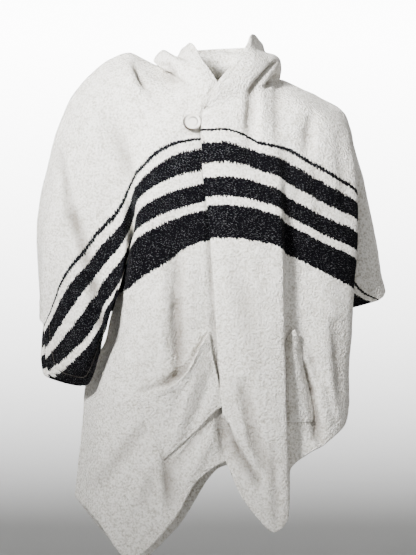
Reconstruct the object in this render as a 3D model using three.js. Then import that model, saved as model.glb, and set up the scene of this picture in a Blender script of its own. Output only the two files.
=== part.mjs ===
// A hooded open-front poncho sweater of thick brushed wool, worn and hollow, in millimetres, +Z up.
// X runs from the wearer's right sleeve to the left one, the front looks along -Y, and the origin
// lies in the neck, at the height where the shoulders carry the cloth.
import * as THREE from "three";
import { mergeVertices } from "three/addons/utils/BufferGeometryUtils.js";

// Driving dimensions
const clothWall = 3;
const seamGap = 0.4;
const cellSize = 23;

// Cloth is measured down from the top of the shoulder and over-arm line. The woven stripes lie
// between 118 and 290, the underarm is at 290, and the pockets reach from 470 to 590.
const levels = [0, 50, 120, 181, 231, 262, 290, 380, 470, 590, 700];
const underarmLevel = 290;
const pocketTop = 470;
const pocketBottom = 590;

// Lines of the cloth that run down from the shoulder, one row for each, from the front edge out to
// the cuff. At each level a line has its place across, its height, and its depth from the neck.
// Lines past the side seam belong to the sleeve and end at the underarm.
const rightFrontLines = [
  { name: "edge",
    across: [8, 8, 6, 8, 14, 18, 21, 26, 31, 36, 38],
    height: [-42, -58, -92, -152, -196, -226, -254, -340, -415, -525, -612],
    depth: [-88, -94, -102, -112, -118, -120, -122, -124, -123, -121, -118] },
  { name: "near",
    across: [-28, -31, -33, -32, -25, -22, -20, -17, -21, 0, 6],
    height: [-34, -62, -93, -157, -203, -234, -261, -345, -414, -533, -622],
    depth: [-92, -98, -104, -116, -121, -124, -126, -128, -127, -124, -120] },
  { name: "inner",
    across: [-60, -66, -70, -68, -62, -58, -55, -60, -80, -48, -42],
    height: [-8, -46, -97, -165, -213, -243, -271, -365, -463, -577, -655],
    depth: [-76, -96, -108, -118, -124, -127, -129, -131, -131, -130, -128] },
  { name: "outer",
    across: [-92, -98, -105, -103, -100, -95, -88, -108, -140, -97, -80],
    height: [22, -22, -114, -178, -227, -262, -296, -395, -513, -620, -718],
    depth: [6, -72, -106, -118, -124, -127, -128, -128, -124, -130, -128] },
  { name: "flank",
    across: [-127, -126, -130, -128, -130, -130, -130, -150, -172, -158, -152],
    height: [38, -10, -136, -193, -243, -280, -321, -410, -527, -665, -782],
    depth: [14, -58, -101, -115, -121, -121, -118, -110, -108, -116, -122] },
  { name: "lip",
    across: [-155, -152, -145, -142, -146, -151, -157, -172, -202, -202, -203],
    height: [51, 4, -152, -212, -258, -298, -343, -415, -522, -640, -722],
    depth: [14, -50, -96, -110, -116, -112, -100, -72, -74, -88, -96] },
  { name: "side",
    across: [-185, -174, -157, -147, -157, -165, -175, -193, -227, -234, -243],
    height: [41, -8, -180, -240, -296, -322, -352, -420, -510, -590, -683],
    depth: [14, -46, -82, -72, -70, -62, -45, -15, -8, -8, -10] },
  { name: "lobe",
    across: [-219, -206, -170, -161, -168, -176, -185],
    height: [15, -38, -207, -272, -334, -358, -388],
    depth: [14, -46, -84, -96, -102, -102, -98] },
  { name: "groove",
    across: [-253, -236, -205, -196, -196, -193, -190],
    height: [-30, -86, -246, -315, -375, -392, -407],
    depth: [14, -44, -76, -84, -96, -104, -102] },
  { name: "upperArm",
    across: [-282, -266, -236, -225, -216, -208, -194],
    height: [-106, -157, -285, -355, -420, -435, -418],
    depth: [14, -42, -70, -82, -98, -106, -100] },
  { name: "forearm",
    across: [-308, -293, -264, -258, -250, -228, -195],
    height: [-249, -275, -328, -402, -455, -475, -425],
    depth: [16, -36, -58, -70, -88, -98, -97] },
  { name: "cuff",
    across: [-302, -301, -293, -291, -284, -226, -198],
    height: [-377, -389, -402, -449, -481, -499, -435],
    depth: [20, -5, -25, -38, -52, -78, -92] },
];

const leftFrontLines = [
  { name: "edge",
    across: [-31, -32, -33, -31, -25, -21, -18, -12, -7, 1, 7],
    height: [-48, -62, -78, -146, -197, -228, -258, -345, -435, -540, -622],
    depth: [-98, -104, -110, -122, -127, -129, -131, -133, -132, -130, -127] },
  { name: "near",
    across: [-5, -2, 0, 0, 2, 5, 8, 14, 18, 22, 30],
    height: [-38, -57, -76, -144, -195, -226, -257, -345, -436, -560, -675],
    depth: [-98, -107, -115, -127, -133, -135, -137, -140, -140, -138, -137] },
  { name: "inner",
    across: [25, 30, 35, 35, 36, 38, 40, 50, 52, 54, 60],
    height: [-27, -56, -85, -147, -198, -229, -260, -348, -440, -580, -716],
    depth: [-92, -104, -113, -126, -133, -136, -138, -141, -143, -143, -142] },
  { name: "belly",
    across: [55, 60, 62, 64, 66, 68, 70, 80, 82, 84, 85],
    height: [-13, -50, -99, -157, -205, -235, -265, -352, -444, -590, -738],
    depth: [-72, -94, -108, -122, -130, -133, -135, -138, -140, -141, -141] },
  { name: "fold",
    across: [80, 86, 90, 92, 96, 98, 99, 101, 103, 107, 109],
    height: [0, -44, -104, -165, -216, -246, -275, -358, -448, -588, -712],
    depth: [-35, -80, -104, -118, -126, -129, -131, -132, -132, -132, -133] },
  { name: "tuck",
    across: [96, 106, 110, 107, 106, 104, 104, 104, 105, 107, 111],
    height: [6, -38, -110, -176, -226, -254, -283, -358, -425, -560, -640],
    depth: [6, -70, -98, -106, -106, -106, -106, -104, -102, -100, -102] },
  { name: "recess",
    across: [120, 129, 133, 127, 124, 123, 122, 124, 128, 150, 138],
    height: [-3, -40, -123, -188, -236, -264, -291, -366, -434, -558, -613],
    depth: [12, -64, -96, -102, -101, -100, -99, -98, -96, -96, -98] },
  { name: "flank",
    across: [161, 170, 175, 172, 172, 171, 170, 170, 174, 182, 170],
    height: [-22, -57, -147, -212, -260, -288, -315, -390, -462, -540, -594],
    depth: [14, -55, -84, -90, -90, -90, -90, -90, -89, -88, -92] },
  { name: "lip",
    across: [203, 215, 225, 226, 223, 220, 218, 216, 211, 210, 203],
    height: [-49, -97, -185, -242, -289, -317, -343, -405, -462, -525, -562],
    depth: [15, -30, -50, -53, -54, -53, -52, -50, -48, -48, -56] },
  { name: "side",
    across: [222, 229, 205, 198, 192, 188, 184, 179, 195, 204, 209],
    height: [-111, -157, -240, -300, -328, -341, -352, -405, -470, -520, -545],
    depth: [20, -10, -8, -10, -12, -13, -14, -14, -2, 4, 0] },
  { name: "lobe",
    across: [241, 245, 213, 200, 194, 193, 193],
    height: [-182, -231, -315, -340, -347, -354, -363],
    depth: [27, -4, -14, -13, -12, -9, -1] },
  { name: "forearm",
    across: [259, 259, 235, 204, 195, 195, 197],
    height: [-270, -300, -346, -360, -364, -366, -370],
    depth: [33, 4, -8, -10, -8, -4, 4] },
  { name: "cuff",
    across: [271, 267, 258, 211, 200, 200, 203],
    height: [-345, -352, -358, -371, -374, -376, -378],
    depth: [36, 12, 0, -8, -5, 0, 10] },
];

// The back hangs from the same shoulder line and side seams. Between them its cloth is set out by
// three lines, one over each shoulder blade and one down the centre.
const backLines = [
  { name: "bladeRight",
    across: [-128, -140, -136, -135, -135, -135, -135, -141, -149, -146, -132],
    height: [36, 8, -70, -135, -190, -225, -258, -366, -490, -640, -795],
    depth: [14, 70, 98, 104, 105, 105, 104, 100, 98, 98, 100] },
  { name: "centre",
    across: [2, 1, 0, 0, 0, 0, 0, 0, 0, 0, 0],
    height: [26, -22, -92, -153, -203, -234, -262, -353, -443, -543, -636],
    depth: [88, 105, 112, 115, 115, 115, 115, 114, 114, 116, 118] },
  { name: "bladeLeft",
    across: [118, 150, 145, 145, 142, 140, 138, 132, 138, 145, 130],
    height: [-8, -45, -110, -172, -222, -253, -280, -368, -455, -545, -612],
    depth: [12, 72, 96, 100, 100, 100, 98, 94, 94, 96, 98] },
];

// How far the back half of a sleeve stands behind the plane of its two seams, line by line
const rightSleeveFullness = { side: 110, lobe: 128, groove: 124, upperArm: 115, forearm: 98, cuff: 77 };
const leftSleeveFullness = { side: 72, lobe: 53, forearm: 47, cuff: 40 };

// The most it stands aside from them, away from the body, close above the underarm
const sleeveAside = 9;

// The hood lies pushed back. Each section starts on the neck seam and ends at the face edge: stand,
// crest, fall and bottom make the pouch behind the neck, rise and brow bring the cloth up again.
// seamAt counts along the neck seam's lines, from the right front edge round to the left one.
const hoodSections = [
  { seamAt: 0, stand: [8, -39, -88], crest: [7, -36, -88], fall: [6, -33, -88],
    bottom: [5, -30, -88], rise: [4, -27, -88], brow: [3, -24, -88] },
  { seamAt: 1, stand: [-26, -26, -89], crest: [-24, -18, -87], fall: [-22, -10, -86],
    bottom: [-20, -3, -84], rise: [-17, 3, -82], brow: [-13, 8, -79] },
  { seamAt: 2, stand: [-59, 4, -71], crest: [-57, 13, -70], fall: [-53, 21, -69],
    bottom: [-47, 28, -68], rise: [-41, 33, -66], brow: [-34, 38, -62] },
  { seamAt: 3, stand: [-103, 28, 5], crest: [-113, 37, 12], fall: [-97, 55, 17],
    bottom: [-75, 42, 11], rise: [-64, 54, 2], brow: [-55, 66, -5] },
  { seamAt: 3.5, stand: [-60, 38, 60], crest: [-76, 42, 82], fall: [-90, 14, 110],
    bottom: [-94, -38, 127], rise: [-88, 10, 142], brow: [-68, 56, 114] },
  { seamAt: 4, stand: [0, 44, 93], crest: [0, 52, 107], fall: [0, -5, 128],
    bottom: [0, -120, 138], rise: [0, -40, 176], brow: [0, 60, 160] },
  { seamAt: 4.5, stand: [58, 38, 60], crest: [78, 46, 84], fall: [90, 12, 112],
    bottom: [92, -42, 126], rise: [88, 10, 142], brow: [70, 64, 114] },
  { seamAt: 5, stand: [98, 22, 6], crest: [97, 37, 12], fall: [88, 48, 15],
    bottom: [73, 52, 8], rise: [62, 56, 0], brow: [52, 80, -8] },
  { seamAt: 6, stand: [82, 12, -36], crest: [79, 26, -42], fall: [71, 38, -44],
    bottom: [62, 46, -43], rise: [52, 54, -40], brow: [42, 62, -36] },
  { seamAt: 7, stand: [54, -2, -71], crest: [51, 8, -73], fall: [46, 18, -73],
    bottom: [40, 27, -71], rise: [33, 34, -68], brow: [26, 40, -64] },
  { seamAt: 8, stand: [23, -20, -91], crest: [20, -12, -91], fall: [17, -4, -90],
    bottom: [13, 3, -89], rise: [9, 9, -87], brow: [5, 14, -85] },
  { seamAt: 9, stand: [-7, -34, -98], crest: [-9, -30, -98], fall: [-11, -25, -99],
    bottom: [-12, -21, -99], rise: [-14, -17, -98], brow: [-15, -13, -97] },
  { seamAt: 10, stand: [-31, -46, -99], crest: [-30, -44, -99], fall: [-30, -42, -100],
    bottom: [-29, -40, -100], rise: [-28, -38, -100], brow: [-27, -36, -100] },
];

// The largest soft folds on top of the lines above: from one point of the front view to another,
// half as wide as halfWidth at most of their depth, ridges positive and valleys negative
const frontFolds = [
  { name: "right arm valley", from: [-246, -70], to: [-246, -225], halfWidth: 16, rise: -9 },
  { name: "right arm ridge", from: [-215, -70], to: [-208, -215], halfWidth: 20, rise: 6 },
  { name: "shoulder slant", from: [-200, -25], to: [-150, -110], halfWidth: 18, rise: -7 },
  { name: "front drop", from: [-80, -285], to: [-80, -450], halfWidth: 13, rise: -7 },
  { name: "neck pull", from: [50, -25], to: [46, -120], halfWidth: 11, rise: -7 },
  { name: "shoulder pull", from: [147, -55], to: [140, -125], halfWidth: 12, rise: -7 },
  { name: "recess valley", from: [133, -470], to: [155, -585], halfWidth: 9, rise: -8 },
  { name: "hip valley", from: [158, -470], to: [182, -560], halfWidth: 11, rise: -7 },
  { name: "panel valley", from: [32, -500], to: [66, -650], halfWidth: 12, rise: -7 },
];
const backFolds = [
  { name: "right blade fall", from: [-92, -150], to: [-104, -640], halfWidth: 26, rise: -11 },
  { name: "left blade fall", from: [84, -190], to: [92, -560], halfWidth: 24, rise: -10 },
  { name: "centre swell", from: [0, -250], to: [6, -610], halfWidth: 34, rise: 7 },
  { name: "right sleeve valley", from: [-226, -120], to: [-232, -330], halfWidth: 18, rise: -9 },
  { name: "left sleeve valley", from: [190, -150], to: [214, -290], halfWidth: 16, rise: -7 },
];

// Patch pockets, each between two lines of its front
const pocketStand = 0.7;
const pocketSpread = { before: 0.3, after: 0.48 };
const rightPocket = { from: "near", to: "outer", gapeAt: 0.34, gape: 24, sag: 44 };
const leftPocket = { from: "tuck", to: "recess", gapeAt: 0.55, gape: 15, sag: -20 };

// The button, and the loop round its shank
const button = {
  across: -50, height: -68, radius: 15, thickness: 5, dish: 1.6, rim: 2.6, shank: 4, lift: 3.6,
  sides: 28,
};
const loopCord = { radius: 1.1, reach: 19.5, sides: 8, bends: 14 };

const cream = { color: 0xe9e6e0, roughness: 0.95, metalness: 0 };
const buttonFinish = { color: 0xe8e2d6, roughness: 0.35, metalness: 0 };

// A smooth curve through values at knots that never swings past them
function smoothCurve(knots, values) {
  const slopes = knots.slice(1).map((knot, i) => (values[i + 1] - values[i]) / (knot - knots[i]));
  const tangents = values.map((value, i) => {
    if (i === 0) return slopes[0];
    if (i === slopes.length) return slopes[i - 1];
    const product = slopes[i - 1] * slopes[i];
    return product > 0 ? (2 * product) / (slopes[i - 1] + slopes[i]) : 0;
  });
  return (at) => {
    let i = 0;
    while (i < slopes.length - 1 && at > knots[i + 1]) i += 1;
    const span = knots[i + 1] - knots[i];
    const s = (at - knots[i]) / span;
    const blend = s * s * (3 - 2 * s);
    const rise = s * (1 - s) * (1 - s) * tangents[i] - s * s * (1 - s) * tangents[i + 1];
    return values[i] + (values[i + 1] - values[i]) * blend + rise * span;
  };
}

// The same for points: one smooth curve for each coordinate
function smoothPath(knots, points) {
  const curves = ["x", "y", "z"].map((axis) => smoothCurve(knots, points.map((point) => point[axis])));
  return (at) => new THREE.Vector3(...curves.map((curve) => curve(at)));
}

// Control points of one cloth line, at each of its levels
function linePoints(line) {
  return line.across.map((x, i) => new THREE.Vector3(x, line.depth[i], line.height[i]));
}

// Cuts the stretch between each two knots into even steps, as many as counts says
function samplePlaces(knots, counts) {
  const places = [{ at: knots[0], knot: 0 }];
  counts.forEach((count, i) => {
    for (let step = 1; step <= count; step += 1) {
      places.push({ at: knots[i] + ((knots[i + 1] - knots[i]) * step) / count, knot: i + step / count });
    }
  });
  return places;
}

function meanGap(lineA, lineB) {
  const count = Math.min(lineA.length, lineB.length);
  let total = 0;
  for (let i = 0; i < count; i += 1) total += lineA[i].distanceTo(lineB[i]);
  return total / count;
}

function stepsFor(length) {
  return Math.max(1, Math.round(length / cellSize));
}

const levelSteps = levels.slice(1).map((level, i) => stepsFor(1.05 * (level - levels[i])));
const rows = samplePlaces(levels, levelSteps);
const underarmRow = rows.findIndex((row) => row.at === underarmLevel);

// A sheet is a grid of points, rows down the cloth and columns across it. Where a column belongs to
// a sleeve the grid ends at the underarm row.
function makeSheet(lines, flipped, fixedCounts = {}) {
  const points = lines.map((line) => (line.across ? linePoints(line) : line.points));
  const knots = [0];
  for (let i = 1; i < points.length; i += 1) knots.push(knots[i - 1] + meanGap(points[i - 1], points[i]));
  const counts = knots.slice(1).map((knot, i) => fixedCounts[i] ?? stepsFor(knot - knots[i]));
  const columns = samplePlaces(knots, counts);
  const names = lines.map((line) => line.name);
  const down = points.map((line) => smoothPath(levels.slice(0, line.length), line));
  const first = points.findIndex((line) => line.length === levels.length);
  const last = points.length - 1 - [...points].reverse().findIndex((line) => line.length === levels.length);
  const grid = rows.map((row, j) => {
    const below = j > underarmRow;
    const from = below ? first : 0;
    const to = below ? last : points.length - 1;
    const path = smoothPath(knots.slice(from, to + 1), down.slice(from, to + 1).map((line) => line(row.at)));
    return columns.map((column) => (column.knot < from || column.knot > to ? null : path(column.at)));
  });
  const columnOf = (name) => columns.findIndex((column) => column.knot === names.indexOf(name));
  return { grid, columns, counts, names, flipped, columnOf };
}

// Adds the soft folds that lie near a point, seen from the front, pushed along the given way
function addFolds(sheet, folds, outward) {
  const foldLines = folds.map((fold) => ({
    ...fold,
    line: new THREE.Line3(new THREE.Vector3(fold.from[0], 0, fold.from[1]),
      new THREE.Vector3(fold.to[0], 0, fold.to[1])),
  }));
  const nearest = new THREE.Vector3();
  const flat = new THREE.Vector3();
  for (const row of sheet.grid) {
    for (const point of row) {
      if (!point) continue;
      flat.set(point.x, 0, point.z);
      let rise = 0;
      for (const fold of foldLines) {
        fold.line.closestPointToPoint(flat, true, nearest);
        const far = nearest.distanceTo(flat) / fold.halfWidth;
        const along = fold.line.closestPointToPointParameter(flat, true);
        rise += fold.rise * Math.exp(-far * far) * Math.sqrt(Math.sin(Math.PI * (0.1 + 0.8 * along)));
      }
      point.y += outward * rise;
    }
  }
}

// The back's lines: both fronts' sleeve lines swung round behind, and body lines between the blades
function backHalf(line, fullness) {
  return linePoints(line).map((point, i) => {
    if (i >= levels.indexOf(underarmLevel)) return point;
    const down = levels[i] / underarmLevel;
    const seams = THREE.MathUtils.lerp(line.depth[0], line.depth[levels.indexOf(underarmLevel)], down);
    point.x += Math.sign(point.x) * sleeveAside * Math.sin(Math.PI * down ** 3);
    return point.setY(seams + fullness * Math.sin(Math.PI * down) * (1 - down) ** 0.2);
  });
}

function makeBackLines() {
  const frontLine = (lines, name) => lines.find((line) => line.name === name);
  const sleeve = (lines, fullness) => Object.keys(fullness).map((name) => (
    { name, points: backHalf(frontLine(lines, name), fullness[name]) }));
  const right = sleeve(rightFrontLines, rightSleeveFullness);
  const left = sleeve(leftFrontLines, leftSleeveFullness);
  const across = [right[0].points, ...backLines.map(linePoints), left[0].points];
  const body = (name, at, front) => ({
    name,
    points: levels.map((level, i) => (front && i === 0
      ? linePoints(frontLine(front, name))[0]
      : smoothPath([0, 1, 2, 3, 4], across.map((line) => line[i]))(at))),
  });
  return [...right.reverse(),
    body("lip", 0.45, rightFrontLines), body("flank", 0.9, rightFrontLines),
    body("outer", 1.4, rightFrontLines), body("centre", 2, null), body("tuck", 2.6, leftFrontLines),
    body("recess", 3, leftFrontLines), body("flank", 3.35, leftFrontLines),
    body("lip", 3.7, leftFrontLines), ...left];
}

// The whole numbers from one to another, both included, up or down
function countFrom(from, to) {
  const step = Math.sign(to - from);
  return Array.from({ length: Math.abs(to - from) + 1 }, (_, i) => from + i * step);
}

// The back takes the very points of the fronts along the shoulders, the underarms and the sides
function shareSeams(back, front, backColumns, frontColumns, sideColumn) {
  frontColumns.forEach((frontColumn, i) => {
    const backColumn = backColumns[i];
    back.grid[0][backColumn] = front.grid[0][frontColumn].clone();
    const inSleeve = front.grid[underarmRow + 1][frontColumn] === null;
    if (inSleeve) back.grid[underarmRow][backColumn] = front.grid[underarmRow][frontColumn].clone();
    if (frontColumn !== sideColumn) return;
    for (let j = underarmRow; j < rows.length; j += 1) {
      back.grid[j][backColumn] = front.grid[j][frontColumn].clone();
    }
  });
}

// The hood stands on the neck seam, so its first row is the neckline of the fronts and the back
function makeHood(neckline) {
  const profile = ["stand", "crest", "fall", "bottom", "rise", "brow"];
  const turns = [1, 1, 2, 3, 3, 3];
  const places = hoodSections.map((section) => section.seamAt);
  const toPoint = ([x, z, y]) => new THREE.Vector3(x, y, z);
  const rings = profile.map((name) => smoothPath(places, hoodSections.map(
    (section) => toPoint(section[name]))));
  const steps = samplePlaces([0, 1, 2, 3, 4, 5, 6], turns);
  const grid = steps.map(() => []);
  for (const seam of neckline) {
    const path = smoothPath([0, 1, 2, 3, 4, 5, 6], [seam.point, ...rings.map((ring) => ring(seam.at))]);
    steps.forEach((step, j) => grid[j].push(j === 0 ? seam.point.clone() : path(step.at)));
  }
  return { grid, flipped: true };
}

// Calls visit with the four corners of each cell that the sheet has
function eachCell(sheet, visit) {
  const { grid } = sheet;
  for (let j = 0; j < grid.length - 1; j += 1) {
    for (let i = 0; i < grid[j].length - 1; i += 1) {
      const corners = [[j, i], [j, i + 1], [j + 1, i + 1], [j + 1, i]];
      if (corners.every(([row, column]) => grid[row][column])) visit(corners);
    }
  }
}

// Two triangles across the shorter diagonal of a cell, facing out of the garment
function splitCell(sheet, corners) {
  const [a, b, c, d] = corners.map(([row, column]) => sheet.grid[row][column]);
  const [i, j, k, l] = sheet.flipped ? [0, 3, 2, 1] : [0, 1, 2, 3];
  const alongFirst = a.distanceTo(c) <= b.distanceTo(d);
  return alongFirst ? [[i, j, k], [i, k, l]] : [[j, k, l], [j, l, i]];
}

const seamKey = (point) => point.toArray().map((value) => value.toFixed(3)).join(" ");

// Directions out of the cloth, averaged over all the sheets that meet at a point, so that two walls
// meet at their seam in one plane
function outwardDirections(sheets) {
  const sums = new Map();
  const owners = new Map();
  for (const sheet of sheets) {
    eachCell(sheet, (corners) => {
      const points = corners.map(([row, column]) => sheet.grid[row][column]);
      for (const [i, j, k] of splitCell(sheet, corners)) {
        const facing = new THREE.Vector3().subVectors(points[j], points[i])
          .cross(new THREE.Vector3().subVectors(points[k], points[i]));
        for (const corner of [i, j, k]) {
          const key = seamKey(points[corner]);
          if (!sums.has(key)) sums.set(key, new THREE.Vector3());
          sums.get(key).add(facing);
          if (!owners.has(key)) owners.set(key, new Set());
          owners.get(key).add(sheet);
        }
      }
    });
  }
  for (const sum of sums.values()) sum.normalize();
  return { directionAt: (point) => sums.get(seamKey(point)),
    isSeam: (point) => (owners.get(seamKey(point))?.size ?? 0) > 1 };
}

// The way from a seam point into its own sheet
function inwardStep(sheet, seams, row, column) {
  const here = sheet.grid[row][column];
  const way = new THREE.Vector3();
  for (const [down, across] of [[1, 0], [-1, 0], [0, 1], [0, -1], [1, 1], [1, -1], [-1, 1], [-1, -1]]) {
    const other = sheet.grid[row + down]?.[column + across];
    if (other && !seams.isSeam(other)) way.add(new THREE.Vector3().subVectors(other, here).normalize());
  }
  return way.normalize();
}

// Closes a sheet into a wall: an outer face, an inner face behind it, and narrow faces along every
// edge, cut along the same diagonal in both walls of a seam
function closeWall(sheet, outerOf, innerOf) {
  const positions = [];
  const numbers = new Map();
  const vertex = (row, column, face) => {
    const key = `${row} ${column} ${face}`;
    if (!numbers.has(key)) {
      numbers.set(key, positions.length / 3);
      positions.push(...(face === "outer" ? outerOf : innerOf)(row, column).toArray());
    }
    return numbers.get(key);
  };
  const triangles = [];
  const edges = new Map();
  eachCell(sheet, (corners) => {
    for (const triangle of splitCell(sheet, corners)) {
      triangles.push(...triangle.map((corner) => vertex(...corners[corner], "outer")));
      triangles.push(...[...triangle].reverse().map((corner) => vertex(...corners[corner], "inner")));
    }
    const round = sheet.flipped ? [0, 3, 2, 1] : [0, 1, 2, 3];
    round.forEach((corner, i) => {
      const from = corners[corner];
      const to = corners[round[(i + 1) % 4]];
      const reverse = `${to} ${from}`;
      if (edges.has(reverse)) edges.delete(reverse);
      else edges.set(`${from} ${to}`, [from, to]);
    });
  });
  for (const [from, to] of edges.values()) {
    const [a, b] = [vertex(...from, "outer"), vertex(...to, "outer")];
    const [c, d] = [vertex(...from, "inner"), vertex(...to, "inner")];
    const [start, end] = [from, to].map(([row, column]) => seamKey(sheet.grid[row][column]));
    triangles.push(...(start < end ? [b, a, c, b, c, d] : [b, a, d, a, c, d]));
  }
  const geometry = new THREE.BufferGeometry();
  geometry.setAttribute("position", new THREE.Float32BufferAttribute(positions, 3));
  geometry.setIndex(triangles);
  return geometry;
}

function clothPiece(name, sheet, seams) {
  const place = (row, column, sink) => {
    const point = sheet.grid[row][column];
    const moved = point.clone().addScaledVector(seams.directionAt(point), -sink);
    if (seams.isSeam(point)) moved.addScaledVector(inwardStep(sheet, seams, row, column), seamGap / 2);
    return moved;
  };
  const geometry = closeWall(sheet, (row, column) => place(row, column, 0),
    (row, column) => place(row, column, clothWall));
  return finishedMesh(name, geometry, cream);
}

// A patch pocket lies on its front, sewn at both sides and the bottom, and its top edge gapes
function pocketPiece(name, front, pocket) {
  const first = front.columnOf(pocket.from);
  const last = front.columnOf(pocket.to);
  const topRow = rows.findIndex((row) => row.at === pocketTop);
  const bottomRow = rows.findIndex((row) => row.at === pocketBottom);
  const grid = front.grid.slice(topRow, bottomRow + 1).map((row) => row.slice(first, last + 1));
  const sheet = { grid, flipped: front.flipped };
  const { directionAt } = outwardDirections([sheet]);
  const place = (row, column, stand) => {
    const point = grid[row][column];
    const across = column / (last - first);
    const spread = across < pocket.gapeAt ? pocketSpread.before : pocketSpread.after;
    const open = Math.exp(-(((across - pocket.gapeAt) / spread) ** 2)) * Math.sqrt(Math.sin(Math.PI * across));
    const fade = (1 - row / (bottomRow - topRow)) ** 2;
    const moved = point.clone().addScaledVector(directionAt(point), stand + pocket.gape * open * fade);
    moved.z -= pocket.sag * open * fade;
    return moved;
  };
  const geometry = closeWall(sheet, (row, column) => place(row, column, pocketStand + clothWall),
    (row, column) => place(row, column, pocketStand));
  return finishedMesh(name, geometry, cream);
}

// The point and the outward direction of a front where a line of sight along Y meets it
function surfaceAt(sheet, x, z) {
  let best = null;
  const ray = new THREE.Ray(new THREE.Vector3(x, -1000, z), new THREE.Vector3(0, 1, 0));
  eachCell(sheet, (corners) => {
    const points = corners.map(([row, column]) => sheet.grid[row][column]);
    for (const triangle of splitCell(sheet, corners)) {
      const [a, b, c] = triangle.map((corner) => points[corner]);
      const hit = ray.intersectTriangle(a, b, c, false, new THREE.Vector3());
      if (!hit || (best && hit.y >= best.point.y)) continue;
      best = { point: hit, outward: new THREE.Triangle(a, b, c).getNormal(new THREE.Vector3()) };
    }
  });
  return best;
}

function makeButton(seat) {
  const { radius, thickness, dish, rim, shank, lift, sides } = button;
  const roundOver = 1.2;
  const top = lift + thickness;
  const profile = [[0, seamGap], [shank, seamGap], [shank, lift], [radius - roundOver, lift],
    [radius, lift + roundOver], [radius, top - roundOver], [radius - roundOver, top],
    [radius - rim, top], [radius - rim - dish, top - dish], [radius / 2, top - dish - 0.6],
    [0, top - dish - 0.8]].map(([x, y]) => new THREE.Vector2(x, y));
  const mesh = finishedMesh("button", new THREE.LatheGeometry(profile, sides), buttonFinish);
  mesh.quaternion.setFromUnitVectors(new THREE.Vector3(0, 1, 0), seat.outward);
  mesh.position.copy(seat.point);
  return mesh;
}

// The loop comes from behind the left front's edge, passes round the button's shank under its disc
// and goes back behind the edge
function makeLoop({ point, outward }) {
  const across = new THREE.Vector3(1, 0, 0).projectOnPlane(outward).normalize();
  const up = new THREE.Vector3().crossVectors(across, outward);
  const middle = point.clone().addScaledVector(outward, loopCord.radius + seamGap);
  const half = button.shank + loopCord.radius + seamGap;
  const place = (right, above) => middle.clone().addScaledVector(across, right).addScaledVector(up, above);
  const leg = (side) => [loopCord.reach, loopCord.reach / 2].map((right) => place(right, side * half));
  const turn = countFrom(0, loopCord.bends).map((bend) => {
    const angle = Math.PI * (0.5 + bend / loopCord.bends);
    return place(half * Math.cos(angle), half * Math.sin(angle));
  });
  const path = new THREE.CatmullRomCurve3([...leg(1), ...turn, ...leg(-1).reverse()]);
  const section = new THREE.Shape();
  section.absarc(0, 0, loopCord.radius, 0, 2 * Math.PI);
  const geometry = new THREE.ExtrudeGeometry(section, { extrudePath: path, steps: 22,
    curveSegments: loopCord.sides / 2, bevelEnabled: false });
  return finishedMesh("button_loop", geometry, cream);
}

// Names a mesh and turns its faces out where a profile or path left them facing in
function finishedMesh(name, source, finish) {
  const bare = new THREE.BufferGeometry();
  bare.setAttribute("position", source.getAttribute("position"));
  if (source.index) bare.setIndex(source.index);
  const geometry = mergeVertices(bare, 1e-4);
  const index = [...geometry.index.array];
  const corner = (i) => new THREE.Vector3().fromBufferAttribute(geometry.getAttribute("position"), index[i]);
  let volume = 0;
  const kept = [];
  for (let i = 0; i < index.length; i += 3) {
    if (index[i] === index[i + 1] || index[i + 1] === index[i + 2] || index[i] === index[i + 2]) continue;
    volume += corner(i).dot(corner(i + 1).cross(corner(i + 2)));
    kept.push([index[i], index[i + 1], index[i + 2]]);
  }
  geometry.setIndex(kept.flatMap((triangle) => (volume < 0 ? triangle.reverse() : triangle)));
  const mesh = new THREE.Mesh(geometry, new THREE.MeshStandardMaterial(finish));
  mesh.name = name;
  return mesh;
}

const poncho = new THREE.Group();

// Fronts, each cut in one with the front half of its sleeve
const rightFront = makeSheet(rightFrontLines, false);
const leftFront = makeSheet(leftFrontLines, true, { 5: 3 });

// The back, cut in one with the back halves of both sleeves, with the fronts' columns at the seams
const rightNeck = rightFrontLines.findIndex((line) => line.name === "outer");
const leftNeck = leftFrontLines.findIndex((line) => line.name === "tuck");
const backCounts = {};
rightFront.counts.slice(rightNeck).reverse().forEach((count, i) => { backCounts[i] = count; });
const backLinesAll = makeBackLines();
leftFront.counts.slice(leftNeck).forEach((count, i, all) => {
  backCounts[backLinesAll.length - 1 - all.length + i] = count;
});
const back = makeSheet(backLinesAll, false, backCounts);
addFolds(rightFront, frontFolds, -1);
addFolds(leftFront, frontFolds, -1);
addFolds(back, backFolds, 1);
const rightCuff = rightFront.columns.length - 1;
const leftCuff = leftFront.columns.length - 1;
shareSeams(back, rightFront, countFrom(0, back.columnOf("outer")),
  countFrom(rightCuff, rightFront.columnOf("outer")), rightFront.columnOf("side"));
shareSeams(back, leftFront, countFrom(back.columnOf("tuck"), back.columns.length - 1),
  countFrom(leftFront.columnOf("tuck"), leftCuff), leftFront.columnOf("side"));

// The neck seam, along the right front, round the back and along the left front
const seamPlaces = (sheet, from, to, placeOf) => countFrom(sheet.columnOf(from), sheet.columnOf(to)).map(
  (column) => ({ point: sheet.grid[0][column], at: placeOf(sheet.columns[column].knot) }));
const backCentre = backLinesAll.findIndex((line) => line.name === "centre");
const neckline = [
  ...seamPlaces(rightFront, "edge", "outer", (knot) => knot),
  ...seamPlaces(back, "outer", "tuck", (knot) => knot - backCentre + 4).slice(1, -1),
  ...seamPlaces(leftFront, "tuck", "edge", (knot) => 10 - knot),
];
const hood = makeHood(neckline);

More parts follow.
